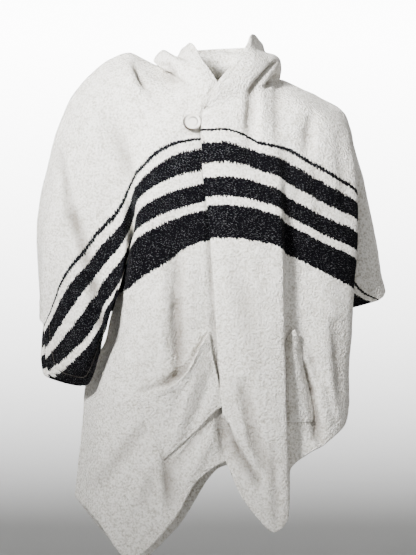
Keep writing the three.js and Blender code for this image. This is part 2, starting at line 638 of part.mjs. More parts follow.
const seams = outwardDirections([rightFront, leftFront, back, hood]);
poncho.add(clothPiece("front_right", rightFront, seams));
poncho.add(clothPiece("front_left", leftFront, seams));
poncho.add(clothPiece("back", back, seams));
poncho.add(clothPiece("hood", hood, seams));
poncho.add(pocketPiece("pocket_right", rightFront, rightPocket));
poncho.add(pocketPiece("pocket_left", leftFront, leftPocket));
const buttonSeat = surfaceAt(rightFront, button.across, button.height);
poncho.add(makeButton(buttonSeat));
poncho.add(makeLoop(buttonSeat));

export default poncho;
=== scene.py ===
import math

import bmesh
import bpy
import numpy as np
from mathutils import Matrix, Vector, noise
from mathutils.bvhtree import BVHTree


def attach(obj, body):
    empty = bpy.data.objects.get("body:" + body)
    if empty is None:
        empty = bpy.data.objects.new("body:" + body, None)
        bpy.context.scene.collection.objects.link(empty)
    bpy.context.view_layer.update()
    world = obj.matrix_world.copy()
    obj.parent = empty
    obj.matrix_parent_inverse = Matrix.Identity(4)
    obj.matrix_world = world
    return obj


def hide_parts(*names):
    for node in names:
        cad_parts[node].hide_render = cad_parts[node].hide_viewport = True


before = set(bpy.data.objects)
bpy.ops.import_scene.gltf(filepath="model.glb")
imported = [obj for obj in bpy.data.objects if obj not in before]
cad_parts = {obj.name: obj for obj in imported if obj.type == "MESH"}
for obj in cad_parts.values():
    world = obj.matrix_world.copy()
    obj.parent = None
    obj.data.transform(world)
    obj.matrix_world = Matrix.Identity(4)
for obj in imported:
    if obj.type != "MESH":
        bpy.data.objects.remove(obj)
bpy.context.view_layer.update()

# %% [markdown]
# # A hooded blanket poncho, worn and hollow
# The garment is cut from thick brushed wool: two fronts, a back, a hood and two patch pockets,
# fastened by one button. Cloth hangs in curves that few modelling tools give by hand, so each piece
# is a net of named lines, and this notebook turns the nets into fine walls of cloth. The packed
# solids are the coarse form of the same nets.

print("solids:", ", ".join(sorted(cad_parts)))

# %% [markdown]
# ## Sizes
# Everything is worked out in millimetres, as a pattern cutter would, and made metres at the end.
# Cloth is measured down from the top of the shoulder and over-arm line: the woven stripes lie
# between 118 and 290, the underarm is at 290, and the pockets reach from 470 to 590. A cell is one
# square of the fine net.

# %% Driving sizes
MM = 0.001
CLOTH_WALL = 3.0
CELL = 4.0
LEVELS = [0, 50, 120, 181, 231, 262, 290, 380, 470, 590, 700]
UNDERARM = 290
POCKET_TOP = 470
POCKET_BOTTOM = 590
HEM_DEPTH = 20.0
HEM_SWELL = 1.1
HOOD_SWELL = 0.5
HOOD_BAND = 8.0
FAR = 60.0
print(f"cloth {CLOTH_WALL:g} mm thick, in cells of about {CELL:g} mm")

# %% [markdown]
# ## The lines of the cloth
# Each front is a fan of lines from the shoulder down. A line has three rows of numbers: its place
# across, its height and its depth, each at every level. Lines past the side seam belong to the
# sleeve and stop at the underarm, which is why their rows are shorter.

# %% Lines of the two fronts and the back
LINE_ROWS = ["across", "height", "depth"]
RIGHT_FRONT = {
    "edge": [
        [8, 8, 6, 8, 14, 18, 21, 26, 31, 36, 38],
        [-42, -58, -92, -152, -196, -226, -254, -340, -415, -525, -612],
        [-88, -94, -102, -112, -118, -120, -122, -124, -123, -121, -118]],
    "near": [
        [-28, -31, -33, -32, -25, -22, -20, -17, -21, 0, 6],
        [-34, -62, -93, -157, -203, -234, -261, -345, -414, -533, -622],
        [-92, -98, -104, -116, -121, -124, -126, -128, -127, -124, -120]],
    "inner": [
        [-60, -66, -70, -68, -62, -58, -55, -60, -80, -48, -42],
        [-8, -46, -97, -165, -213, -243, -271, -365, -463, -577, -655],
        [-76, -96, -108, -118, -124, -127, -129, -131, -131, -130, -128]],
    "outer": [
        [-92, -98, -105, -103, -100, -95, -88, -108, -140, -97, -80],
        [22, -22, -114, -178, -227, -262, -296, -395, -513, -620, -718],
        [6, -72, -106, -118, -124, -127, -128, -128, -124, -130, -128]],
    "flank": [
        [-127, -126, -130, -128, -130, -130, -130, -150, -172, -158, -152],
        [38, -10, -136, -193, -243, -280, -321, -410, -527, -665, -782],
        [14, -58, -101, -115, -121, -121, -118, -110, -108, -116, -122]],
    "lip": [
        [-155, -152, -145, -142, -146, -151, -157, -172, -202, -202, -203],
        [51, 4, -152, -212, -258, -298, -343, -415, -522, -640, -722],
        [14, -50, -96, -110, -116, -112, -100, -72, -74, -88, -96]],
    "side": [
        [-185, -174, -157, -147, -157, -165, -175, -193, -227, -234, -243],
        [41, -8, -180, -240, -296, -322, -352, -420, -510, -590, -683],
        [14, -46, -82, -72, -70, -62, -45, -15, -8, -8, -10]],
    "lobe": [
        [-219, -206, -170, -161, -168, -176, -185],
        [15, -38, -207, -272, -334, -358, -388],
        [14, -46, -84, -96, -102, -102, -98]],
    "groove": [
        [-253, -236, -205, -196, -196, -193, -190],
        [-30, -86, -246, -315, -375, -392, -407],
        [14, -44, -76, -84, -96, -104, -102]],
    "upperArm": [
        [-282, -266, -236, -225, -216, -208, -194],
        [-106, -157, -285, -355, -420, -435, -418],
        [14, -42, -70, -82, -98, -106, -100]],
    "forearm": [
        [-308, -293, -264, -258, -250, -228, -195],
        [-249, -275, -328, -402, -455, -475, -425],
        [16, -36, -58, -70, -88, -98, -97]],
    "cuff": [
        [-302, -301, -293, -291, -284, -226, -198],
        [-377, -389, -402, -449, -481, -499, -435],
        [20, -5, -25, -38, -52, -78, -92]],
}
LEFT_FRONT = {
    "edge": [
        [-31, -32, -33, -31, -25, -21, -18, -12, -7, 1, 7],
        [-48, -62, -78, -146, -197, -228, -258, -345, -435, -540, -622],
        [-98, -104, -110, -122, -127, -129, -131, -133, -132, -130, -127]],
    "near": [
        [-5, -2, 0, 0, 2, 5, 8, 14, 18, 22, 30],
        [-38, -57, -76, -144, -195, -226, -257, -345, -436, -560, -675],
        [-98, -107, -115, -127, -133, -135, -137, -140, -140, -138, -137]],
    "inner": [
        [25, 30, 35, 35, 36, 38, 40, 50, 52, 54, 60],
        [-27, -56, -85, -147, -198, -229, -260, -348, -440, -580, -716],
        [-92, -104, -113, -126, -133, -136, -138, -141, -143, -143, -142]],
    "belly": [
        [55, 60, 62, 64, 66, 68, 70, 80, 82, 84, 85],
        [-13, -50, -99, -157, -205, -235, -265, -352, -444, -590, -738],
        [-72, -94, -108, -122, -130, -133, -135, -138, -140, -141, -141]],
    "fold": [
        [80, 86, 90, 92, 96, 98, 99, 101, 103, 107, 109],
        [0, -44, -104, -165, -216, -246, -275, -358, -448, -588, -712],
        [-35, -80, -104, -118, -126, -129, -131, -132, -132, -132, -133]],
    "tuck": [
        [96, 106, 110, 107, 106, 104, 104, 104, 105, 107, 111],
        [6, -38, -110, -176, -226, -254, -283, -358, -425, -560, -640],
        [6, -70, -98, -106, -106, -106, -106, -104, -102, -100, -102]],
    "recess": [
        [120, 129, 133, 127, 124, 123, 122, 124, 128, 150, 138],
        [-3, -40, -123, -188, -236, -264, -291, -366, -434, -558, -613],
        [12, -64, -96, -102, -101, -100, -99, -98, -96, -96, -98]],
    "flank": [
        [161, 170, 175, 172, 172, 171, 170, 170, 174, 182, 170],
        [-22, -57, -147, -212, -260, -288, -315, -390, -462, -540, -594],
        [14, -55, -84, -90, -90, -90, -90, -90, -89, -88, -92]],
    "lip": [
        [203, 215, 225, 226, 223, 220, 218, 216, 211, 210, 203],
        [-49, -97, -185, -242, -289, -317, -343, -405, -462, -525, -562],
        [15, -30, -50, -53, -54, -53, -52, -50, -48, -48, -56]],
    "side": [
        [222, 229, 205, 198, 192, 188, 184, 179, 195, 204, 209],
        [-111, -157, -240, -300, -328, -341, -352, -405, -470, -520, -545],
        [20, -10, -8, -10, -12, -13, -14, -14, -2, 4, 0]],
    "lobe": [
        [241, 245, 213, 200, 194, 193, 193],
        [-182, -231, -315, -340, -347, -354, -363],
        [27, -4, -14, -13, -12, -9, -1]],
    "forearm": [
        [259, 259, 235, 204, 195, 195, 197],
        [-270, -300, -346, -360, -364, -366, -370],
        [33, 4, -8, -10, -8, -4, 4]],
    "cuff": [
        [271, 267, 258, 211, 200, 200, 203],
        [-345, -352, -358, -371, -374, -376, -378],
        [36, 12, 0, -8, -5, 0, 10]],
}
BACK = {
    "bladeRight": [
        [-128, -140, -136, -135, -135, -135, -135, -141, -149, -146, -132],
        [36, 8, -70, -135, -190, -225, -258, -366, -490, -640, -795],
        [14, 70, 98, 104, 105, 105, 104, 100, 98, 98, 100]],
    "centre": [
        [2, 1, 0, 0, 0, 0, 0, 0, 0, 0, 0],
        [26, -22, -92, -153, -203, -234, -262, -353, -443, -543, -636],
        [88, 105, 112, 115, 115, 115, 115, 114, 114, 116, 118]],
    "bladeLeft": [
        [118, 150, 145, 145, 142, 140, 138, 132, 138, 145, 130],
        [-8, -45, -110, -172, -222, -253, -280, -368, -455, -545, -612],
        [12, 72, 96, 100, 100, 100, 98, 94, 94, 96, 98]],
}
RIGHT_SLEEVE_FULLNESS = {"side": 110, "lobe": 128, "groove": 124, "upperArm": 115, "forearm": 98, "cuff": 77}
LEFT_SLEEVE_FULLNESS = {"side": 72, "lobe": 53, "forearm": 47, "cuff": 40}
SLEEVE_ASIDE = 9
print(len(RIGHT_FRONT), "lines in the right front,", len(LEFT_FRONT), "in the left")

# %% [markdown]
# ## The hood's sections
# The hood lies pushed back. A section starts at its place on the neck seam and ends at the face
# edge. It has six named places: stand, crest, fall and bottom make the pouch behind the neck, rise
# and brow bring the cloth up again. Each place is across, height, depth.

# %% Sections of the hood
HOOD_PROFILE = ["stand", "crest", "fall", "bottom", "rise", "brow"]
HOOD = {
    0: [[8, -39, -88], [7, -36, -88], [6, -33, -88], [5, -30, -88], [4, -27, -88], [3, -24, -88]],
    1: [[-26, -26, -89], [-24, -18, -87], [-22, -10, -86], [-20, -3, -84], [-17, 3, -82], [-13, 8, -79]],
    2: [[-59, 4, -71], [-57, 13, -70], [-53, 21, -69], [-47, 28, -68], [-41, 33, -66], [-34, 38, -62]],
    3: [[-103, 28, 5], [-113, 37, 12], [-97, 55, 17], [-75, 42, 11], [-64, 54, 2], [-55, 66, -5]],
    3.5: [[-60, 38, 60], [-76, 42, 82], [-90, 14, 110], [-94, -38, 127], [-88, 10, 142], [-68, 56, 114]],
    4: [[0, 44, 93], [0, 52, 107], [0, -5, 128], [0, -120, 138], [0, -40, 176], [0, 60, 160]],
    4.5: [[58, 38, 60], [78, 46, 84], [90, 12, 112], [92, -42, 126], [88, 10, 142], [70, 64, 114]],
    5: [[98, 22, 6], [97, 37, 12], [88, 48, 15], [73, 52, 8], [62, 56, 0], [52, 80, -8]],
    6: [[82, 12, -36], [79, 26, -42], [71, 38, -44], [62, 46, -43], [52, 54, -40], [42, 62, -36]],
    7: [[54, -2, -71], [51, 8, -73], [46, 18, -73], [40, 27, -71], [33, 34, -68], [26, 40, -64]],
    8: [[23, -20, -91], [20, -12, -91], [17, -4, -90], [13, 3, -89], [9, 9, -87], [5, 14, -85]],
    9: [[-7, -34, -98], [-9, -30, -98], [-11, -25, -99], [-12, -21, -99], [-14, -17, -98], [-15, -13, -97]],
    10: [[-31, -46, -99], [-30, -44, -99], [-30, -42, -100],
         [-29, -40, -100], [-28, -38, -100], [-27, -36, -100]],
}
print(len(HOOD), "sections of the hood, each with", ", ".join(HOOD_PROFILE))

# %% [markdown]
# ## Folds
# A fold is a soft ridge or valley laid over the net, from one point of the front view to another.
# Its row in the table says where it runs from and to, its half width on the left and on the right,
# and its rise, which is negative in a valley. Many creases fall off sharply on one side and slowly
# on the other, as where cloth laps over itself. The first two tables are in the solids as well, and
# the creases are finer. The folds behind belong to one front only: they open the pocket mouths and
# let the other front lap over it. The valleys of the creases and of the folds behind are also painted
# darker as painted shade, which gives the painted shadows in the pocket mouths and under the lapping edge.

# %% Folds and creases
FOLD_COLUMNS = ["from_across", "from_up", "to_across", "to_up", "left_width", "right_width", "rise"]
FRONT_FOLDS = {
    "right arm valley": (-246, -70, -246, -225, 16, 16, -9),
    "right arm ridge": (-215, -70, -208, -215, 20, 20, 6),
    "shoulder slant": (-200, -25, -150, -110, 18, 18, -7),
    "front drop": (-80, -285, -80, -450, 13, 13, -7),
    "neck pull": (50, -25, 46, -120, 11, 11, -7),
    "shoulder pull": (147, -55, 140, -125, 12, 12, -7),
    "recess valley": (133, -470, 155, -585, 9, 9, -8),
    "hip valley": (158, -470, 182, -560, 11, 11, -7),
    "panel valley": (32, -500, 66, -650, 12, 12, -7),
}
BACK_FOLDS = {
    "right blade fall": (-92, -150, -104, -640, 26, 26, -11),
    "left blade fall": (84, -190, 92, -560, 24, 24, -10),
    "centre swell": (0, -250, 6, -610, 34, 34, 7),
    "right sleeve valley": (-226, -120, -232, -330, 18, 18, -9),
    "left sleeve valley": (190, -150, 214, -290, 16, 16, -7),
}
FRONT_CREASES = {
    "shoulder pinch": (-143, 27, -128, -5, 4, 4, -8),
    "shoulder pinch tail": (-128, -5, -105, -45, 6, 9, -3),
    "shoulder pinch lip": (-158, 34, -144, -10, 8, 8, 3),
    "arm valley low": (-246, -219, -214, -335, 8, 12, -7),
    "cuff valley": (-214, -335, -197, -434, 7, 10, -8),
    "arm lift": (-268, -150, -262, -330, 13, 13, 4),
    "chest drag one": (-170, -80, -149, -160, 14, 8, -5),
    "arm valley top": (-266, -120, -243, -242, 12, 7, -6),
    "pocket valley": (-18, -480, -58, -590, 9, 9, -5),
    "pocket ridge": (-44, -470, -80, -600, 10, 10, 4),
    "chest drag two": (-120, -30, -96, -110, 10, 10, 2.5),
    "button drag": (-62, -70, -120, -120, 8, 8, 2.5),
    "roll underside": (-113, 33, -90, 31, 4, 4, -3),
    "roll side": (-90, 31, -79, 6, 5, 5, -6),
    "roll tail": (-79, 6, -50, -12, 7, 7, -3),
    "step top": (-75, -293, -80, -370, 4, 14, -6),
    "step bottom": (-80, -370, -75, -484, 4, 17, -9),
    "step lip": (-95, -300, -96, -470, 10, 10, 3),
    "pocket slant": (-7, -540, -76, -624, 3, 9, -3),
    "slant ridge": (-20, -590, -57, -654, 8, 8, 4),
    "slant valley": (-7, -554, 3, -612, 6, 6, -4),
    "under pocket": (-97, -618, -90, -690, 4, 16, -8),
    "skirt fold": (-115, -624, -122, -689, 8, 8, -3),
    "skirt slant one": (-120, -560, -205, -660, 12, 12, -4),
    "skirt slant two": (-112, -620, -160, -720, 10, 10, 4),
    "skirt slant three": (-170, -520, -222, -600, 12, 12, 3),
    "hood crease one": (87, 33, 60, 3, 3, 3, -8),
    "hood crease one tail": (60, 3, 48, -13, 4, 6, -6),
    "hood crease two": (93, 14, 72, -7, 3.5, 3.5, -7),
    "hood ridge": (86, 22, 64, -6, 5, 5, 3),
    "neck pull fine": (48, -13, 42, -75, 5, 13, -5),
    "neck pull two": (92, -10, 91, -95, 7, 11, -5),
    "neck lap": (-5, 2, -31, -49, 5, 2, -2.5),
    "neck ridge": (66, -14, 66, -100, 8, 8, 3),
    "shoulder pull fine": (147, -61, 140, -107, 7, 9, -4),
    "chest slant left": (100, -110, 128, -200, 10, 14, -4),
    "chest fall left": (150, -130, 165, -260, 10, 14, -4),
    "outer fall left": (192, -90, 204, -210, 9, 12, -4),
    "recess top": (124, -452, 142, -508, 3.5, 11, -8),
    "recess bottom": (142, -508, 156, -588, 3.5, 11, -9),
    "recess two": (142, -440, 160, -492, 5, 7, -4),
    "recess ridge": (158, -470, 176, -560, 8, 8, 4),
    "hip fall": (186, -400, 196, -530, 8, 12, -5),
    "panel fold one top": (33, -505, 47, -580, 5, 13, -6),
    "panel fold one low": (47, -580, 72, -642, 5, 13, -6),
    "panel fold two top": (3, -556, 24, -601, 13, 4, -7),
    "panel fold two low": (24, -601, 62, -655, 14, 4, -8),
    "panel hem fold": (84, -600, 88, -725, 6, 8, -4),
    "panel top slant": (20, -300, 60, -470, 16, 20, -3),
}
BEHIND_FOLDS = {
    "cloth_front_right": {
        "mouth left": (-134, -508, -86, -494, 4, 4, -5),
        "mouth middle": (-92, -494, -58, -474, 8, 8, -9),
        "mouth right": (-58, -468, -24, -416, 4, 4, -5),
        "lap neck": (-16, -16, -34, -64, 3.5, 3.5, -4),
        "lap chest": (-36, -70, -20, -240, 3.5, 3.5, -4),
        "lap middle": (-21, -235, -12, -400, 5, 5, -5),
        "lap low": (-12, -390, -1, -540, 7, 7, -5),
        "lap hem": (-2, -530, 4, -610, 7, 7, -5),
    },
    "cloth_front_left": {
        "mouth slit": (113, -410, 117, -426, 4, 4, -7),
        "mouth shade": (111, -430, 125, -448, 9, 9, -4),
    },
}
BACK_CREASES = {
    "right drag": (-60, -60, -150, -250, 14, 14, -4),
    "left drag": (55, -60, 130, -240, 14, 14, -4),
    "centre fold": (18, -330, 30, -620, 12, 12, -5),
    "right hip fold": (-168, -420, -190, -690, 14, 14, -6),
    "right skirt ridge": (-130, -500, -140, -740, 14, 14, 5),
    "left hip fold": (150, -400, 168, -570, 12, 12, -5),
    "right sleeve pull": (-262, -180, -258, -360, 10, 10, -4),
    "left sleeve pull": (226, -180, 244, -320, 9, 9, -3),
}
FOLD_END = 0.1
print(len(FRONT_FOLDS) + len(BACK_FOLDS), "folds and", len(FRONT_CREASES) + len(BACK_CREASES), "creases")

# %% [markdown]
# ## Smooth curves through a few points
# A poly line through the named points would show corners, and an ordinary spline swings past its
# points and makes bulges that nobody cut. This curve never passes its points, so the cloth keeps
# its sizes. It works on whole arrays, because the nets have tens of thousands of points.


# %% A curve that never swings past its points
def smooth_path(knots, points, at):
    knots, points, at = (np.asarray(value, float) for value in (knots, points, at))
    spans = np.diff(knots)
    tall = (-1,) + (1,) * (points.ndim - 1)
    slopes = np.diff(points, axis=0) / spans.reshape(tall)
    product = slopes[:-1] * slopes[1:]
    total = np.where(product > 0, slopes[:-1] + slopes[1:], 1)
    inner = np.where(product > 0, 2 * product / total, 0)
    tangents = np.concatenate([slopes[:1], inner, slopes[-1:]])
    i = np.clip(np.searchsorted(knots, at, side="left") - 1, 0, len(spans) - 1)
    s = ((at - knots[i]) / spans[i]).reshape(tall)
    reach = spans[i].reshape(tall) * s * (1 - s)
    swing = reach * ((1 - s) * tangents[i] - s * tangents[i + 1])
    return points[i] + (points[i + 1] - points[i]) * s * s * (3 - 2 * s) + swing


def line_points(line):
    rows = dict(zip(LINE_ROWS, line))
    return np.stack([rows["across"], rows["depth"], rows["height"]], axis=1).astype(float)


def steps_for(length):
    return max(1, round(length / CELL))


def sample_places(knots, counts):
    at, place = [knots[0]], [0.0]
    for i, count in enumerate(counts):
        share = np.arange(1, count + 1) / count
        at.extend(knots[i] + (knots[i + 1] - knots[i]) * share)
        place.extend(i + share)
    return np.array(at, float), np.array(place, float)


ROWS, _ = sample_places(LEVELS, [steps_for(b - a) for a, b in zip(LEVELS, LEVELS[1:])])
UNDERARM_ROW = int(np.searchsorted(ROWS, UNDERARM))
print(len(ROWS), "rows down the cloth, the underarm at row", UNDERARM_ROW)

# %% [markdown]
# ## Sheets
# A sheet is a grid of points, rows down the cloth and columns across it. Where a column belongs to
# a sleeve the grid ends at the underarm row, and the places below it hold no number. The same
# places also say where they lie on the flat cloth, which is what the stripes follow.


# %% Make a sheet from its lines
class Sheet:
    def __init__(self, name, points, along, down, place=None, names=(), flipped=False):
        self.name = name
        self.points = points
        self.along = along
        self.down = down
        self.place = place
        self.names = list(names)
        self.flipped = flipped
        self.sewn = np.full(points.shape[:2], FAR)
        self.hem = np.full(points.shape[:2], FAR)
        self.painted_shade = np.zeros(points.shape[:2])
        self.shift = np.zeros(points.shape[:2])

    def column(self, name):
        return int(np.flatnonzero(self.place == self.names.index(name))[0])

    def filled(self):
        return ~np.isnan(self.points[..., 0])


def make_sheet(name, lines, flipped, fixed=None):
    fixed = fixed or {}
    lists = list(lines.values())
    knots = [0.0]
    for a, b in zip(lists, lists[1:]):
        shared = min(len(a), len(b))
        knots.append(knots[-1] + np.linalg.norm(a[:shared] - b[:shared], axis=1).mean())
    counts = [fixed.get(i, steps_for(knots[i + 1] - knots[i])) for i in range(len(lists) - 1)]
    along, place = sample_places(knots, counts)
    whole = [i for i, line in enumerate(lists) if len(line) == len(LEVELS)]
    first, last = whole[0], whole[-1]
    points = np.full((len(ROWS), len(along), 3), np.nan)
    high = ROWS[:UNDERARM_ROW + 1]
    hung = np.array([smooth_path(LEVELS[:len(line)], line, high) for line in lists])
    points[:UNDERARM_ROW + 1] = smooth_path(knots, hung, along).transpose(1, 0, 2)
    low = ROWS[UNDERARM_ROW + 1:]
    hung = np.array([smooth_path(LEVELS, line, low) for line in lists[first:last + 1]])
    body = np.flatnonzero((place >= first) & (place <= last))
    points[UNDERARM_ROW + 1:, body] = smooth_path(
        knots[first:last + 1], hung, along[body]).transpose(1, 0, 2)
    sheet = Sheet(name, points, along, ROWS, place, lines, flipped)
    sheet.counts = counts
    return sheet


def front_lines(table):
    return {name: line_points(line) for name, line in table.items()}


right_front = make_sheet("cloth_front_right", front_lines(RIGHT_FRONT), flipped=False)
left_front = make_sheet("cloth_front_left", front_lines(LEFT_FRONT), flipped=True)
print("right front", right_front.points.shape[:2], "left front", left_front.points.shape[:2])

# %% [markdown]
# ## The back
# The back hangs from the same shoulder line and the same side seams, so it takes the fronts'
# points there. Its sleeve halves are the fronts' sleeve lines swung round behind the arm, and its
# body lines are spread between the side seams over the two shoulder blades.


# %% Lines of the back
def back_half(line, fullness):
    points = line_points(line)
    end = LEVELS.index(UNDERARM)
    depth = line[LINE_ROWS.index("depth")]
    for i in range(end):
        down = LEVELS[i] / UNDERARM
        seams = depth[0] + (depth[end] - depth[0]) * down
        points[i, 0] += math.copysign(SLEEVE_ASIDE * math.sin(math.pi * down ** 3), points[i, 0])
        points[i, 1] = seams + fullness * math.sin(math.pi * down) * (1 - down) ** 0.2
    return points


def make_back_lines():
    right = {name: back_half(RIGHT_FRONT[name], full) for name, full in RIGHT_SLEEVE_FULLNESS.items()}
    left = {name: back_half(LEFT_FRONT[name], full) for name, full in LEFT_SLEEVE_FULLNESS.items()}
    across = np.array([right["side"], *[line_points(line) for line in BACK.values()], left["side"]])
    lines = {f"right {name}": right[name] for name in reversed(list(right))}
    for name, at, front in BACK_SPREAD:
        points = smooth_path([0, 1, 2, 3, 4], across, [at])[0]
        if front:
            points[0] = line_points(front[name.split()[1]])[0]
        lines[name] = points
    lines.update({f"left {name}": points for name, points in left.items()})
    return lines


BACK_SPREAD = [
    ("right lip", 0.45, RIGHT_FRONT), ("right flank", 0.9, RIGHT_FRONT),
    ("right outer", 1.4, RIGHT_FRONT), ("centre", 2, None), ("left tuck", 2.6, LEFT_FRONT),
    ("left recess", 3, LEFT_FRONT), ("left flank", 3.35, LEFT_FRONT), ("left lip", 3.7, LEFT_FRONT),
]
back_lines = make_back_lines()
right_neck = right_front.names.index("outer")
left_neck = left_front.names.index("tuck")
back_counts = dict(enumerate(reversed(right_front.counts[right_neck:])))
left_shared = left_front.counts[left_neck:]
back_counts.update({len(back_lines) - 1 - len(left_shared) + i: c for i, c in enumerate(left_shared)})
back = make_sheet("cloth_back", back_lines, flipped=False, fixed=back_counts)
print("back", back.points.shape[:2])

# %% [markdown]
# ## Folds pushed into the nets
# Each fold is a bell across its line and fades towards both ends. The soft folds push straight
# forward or back, as in the solids, before the sheets are joined at their seams.


# %% Push the soft folds in, then join the seams
def fold_rise(points, folds):
    total = np.zeros(points.shape[:-1])
    flat = points[..., [0, 2]]
    for row in folds.values():
        fold = dict(zip(FOLD_COLUMNS, row))
        start = np.array([fold["from_across"], fold["from_up"]], float)
        way = np.array([fold["to_across"], fold["to_up"]], float) - start
        along = np.clip(((flat - start) @ way) / (way @ way), 0, 1)
        aside = flat - start - along[..., None] * way
        on_right = way[0] * aside[..., 1] > way[1] * aside[..., 0]
        far = np.linalg.norm(aside, axis=-1) / np.where(on_right, fold["right_width"], fold["left_width"])
        fade = np.sqrt(np.sin(math.pi * (FOLD_END + (1 - 2 * FOLD_END) * along)))
        total += fold["rise"] * np.exp(-far * far) * fade
    return total


right_front.points[..., 1] -= fold_rise(right_front.points, FRONT_FOLDS)
left_front.points[..., 1] -= fold_rise(left_front.points, FRONT_FOLDS)
back.points[..., 1] += fold_rise(back.points, BACK_FOLDS)


def count_from(start, end):
    return list(range(start, end + 1)) if start <= end else list(range(start, end - 1, -1))


def share_seams(front, back_columns, front_columns, side_column):
    for back_column, front_column in zip(back_columns, front_columns):
        back.points[0, back_column] = front.points[0, front_column]
        if np.isnan(front.points[UNDERARM_ROW + 1, front_column, 0]):
            back.points[UNDERARM_ROW, back_column] = front.points[UNDERARM_ROW, front_column]
        if front_column == side_column:
            back.points[UNDERARM_ROW:, back_column] = front.points[UNDERARM_ROW:, front_column]


right_cuff = len(right_front.along) - 1
left_cuff = len(left_front.along) - 1
back_end = len(back.along) - 1
share_seams(right_front, count_from(0, back.column("right outer")),
            count_from(right_cuff, right_front.column("outer")), right_front.column("side"))
share_seams(left_front, count_from(back.column("left tuck"), back_end),
            count_from(left_front.column("tuck"), left_cuff), left_front.column("side"))
print("seams joined along the shoulders, underarms and sides")

# %% [markdown]
# ## The hood
# The hood's first row is the neckline of the fronts and the back. From each point of it a smooth
# path runs through the six named places, and between two sections those places are blended.


# %% Raise the hood on the neckline
def neck_places(sheet, start, end, place_of):
    columns = count_from(sheet.column(start), sheet.column(end))
    return [(place_of(sheet.place[column]), sheet.points[0, column]) for column in columns]


back_centre = back.names.index("centre")
neckline = [
    *neck_places(right_front, "edge", "outer", lambda place: place),
    *neck_places(back, "right outer", "left tuck", lambda place: place - back_centre + 4)[1:-1],
    *neck_places(left_front, "tuck", "edge", lambda place: 10 - place),
]
seam_at = [place for place, _ in neckline]
neck_points = np.array([point for _, point in neckline])
rings = [neck_points]
for ring in range(len(HOOD_PROFILE)):
    named = np.array([section[ring] for section in HOOD.values()], float)[:, [0, 2, 1]]
    rings.append(smooth_path(list(HOOD), named, seam_at))
ring_gaps = [np.linalg.norm(b - a, axis=1).max() for a, b in zip(rings, rings[1:])]
_, hood_steps = sample_places(range(len(rings)), [steps_for(gap) for gap in ring_gaps])
hood_points = smooth_path(range(len(rings)), np.array(rings), hood_steps)
neck_along = np.concatenate([[0], np.cumsum(np.linalg.norm(np.diff(neck_points, axis=0), axis=1))])
hood_down = np.concatenate([[0], np.cumsum(
    np.linalg.norm(np.diff(hood_points, axis=0), axis=2).mean(axis=1))])
hood = Sheet("cloth_hood", hood_points, neck_along, -1 - hood_down, flipped=True)
print("hood", hood.points.shape[:2], f"neckline {neck_along[-1]:.0f} mm, {hood_down[-1]:.0f} mm deep")

# %% [markdown]
# ## Which way is out
# Every wall needs a direction out of the cloth at each point. Where two sheets meet, both must use
# the same one, or the seam would gape. So the directions are added up over all the sheets at once,
# and points that lie on each other share their sum.


# %% Outward directions, shared at the seams
def cell_mask(sheet):
    filled = sheet.filled()
    return filled[:-1, :-1] & filled[:-1, 1:] & filled[1:, :-1] & filled[1:, 1:]


def find_outward(sheets):
    keys, sums, owner = [], [], []
    for number, sheet in enumerate(sheets):
        p = sheet.points
        facing = np.cross(p[1:, 1:] - p[:-1, :-1], p[1:, :-1] - p[:-1, 1:])
        facing[~cell_mask(sheet)] = 0
        if sheet.flipped:
            facing = -facing
        total = np.zeros_like(p)
        for rows in (slice(None, -1), slice(1, None)):
            total[rows, :-1] += facing
            total[rows, 1:] += facing
        filled = sheet.filled()
        keys.append(np.round(p[filled] * 1000).astype(np.int64))
        sums.append(total[filled])
        owner.append(np.full(filled.sum(), number))
    _, group = np.unique(np.concatenate(keys), axis=0, return_inverse=True)
    group = group.ravel()
    owners = np.concatenate(owner)
    joined = np.zeros((group.max() + 1, 3))
    np.add.at(joined, group, np.concatenate(sums))
    joined /= np.linalg.norm(joined, axis=1, keepdims=True)
    low = np.full(len(joined), len(sheets))
    high = np.zeros(len(joined), int)
    np.minimum.at(low, group, owners)
    np.maximum.at(high, group, owners)
    start = 0
    for sheet in sheets:
        filled = sheet.filled()
        mine = group[start:start + filled.sum()]
        sheet.outward = np.zeros_like(sheet.points)
        sheet.outward[filled] = joined[mine]
        sheet.seam = np.zeros(filled.shape, bool)
        sheet.seam[filled] = low[mine] < high[mine]
        start += filled.sum()


sheets = [right_front, left_front, back, hood]
find_outward(sheets)
print("seam points:", {sheet.name: int(sheet.seam.sum()) for sheet in sheets})

# %% [markdown]
# ## Creases and the cloth's own unevenness
# Thick brushed wool never lies quite flat. The finer creases go in along the outward direction,
# and then two sizes of gentle lumps, which depend on the place in space alone, so that they run
# on over the seams. How deep a crease is gets remembered, because the finish paints the valleys
# darker as painted shade.


# %% Push in the creases and lumps
LUMP_RISES = {48.0: 1.8, 17.0: 0.6}
PAINTED_SHADE_DEPTH = 9.0
TURN_SHARPNESS = 1.2


def crease_rise(points, outward):
    facing_front = np.clip(0.5 - TURN_SHARPNESS * outward[..., 1], 0, 1)
    return (fold_rise(points, FRONT_CREASES) * facing_front
            + fold_rise(points, BACK_CREASES) * (1 - facing_front))


def lump_rise(points):
    rise = np.zeros(len(points))
    for size, height in LUMP_RISES.items():
        rise += height * np.array([noise.noise(Vector(point)) for point in points / size])
    return rise


for sheet in sheets:
    filled = sheet.filled()
    flat_points, ways = sheet.points[filled], sheet.outward[filled]
    creased = crease_rise(flat_points, ways)
    # painted shade: how deep a crease valley is, so that the colour can be darkened there
    sheet.painted_shade[filled] = np.clip(-creased / PAINTED_SHADE_DEPTH, 0, 1)
    sheet.calm = sheet.outward.copy()
    sheet.points[filled] = flat_points + ways * (creased + lump_rise(flat_points))[:, None]
print("creases and lumps pushed into", sum(int(sheet.filled().sum()) for sheet in sheets), "points")

# %% [markdown]
# ## Hems, stitches and bands
# The lower hems and the cuffs are turned up by 20 mm and stitched, so the cloth is a little thicker
# there. The hood's face edge has a narrow band. For each point this cell works out how far it is
# from such an edge, measured along the cloth.


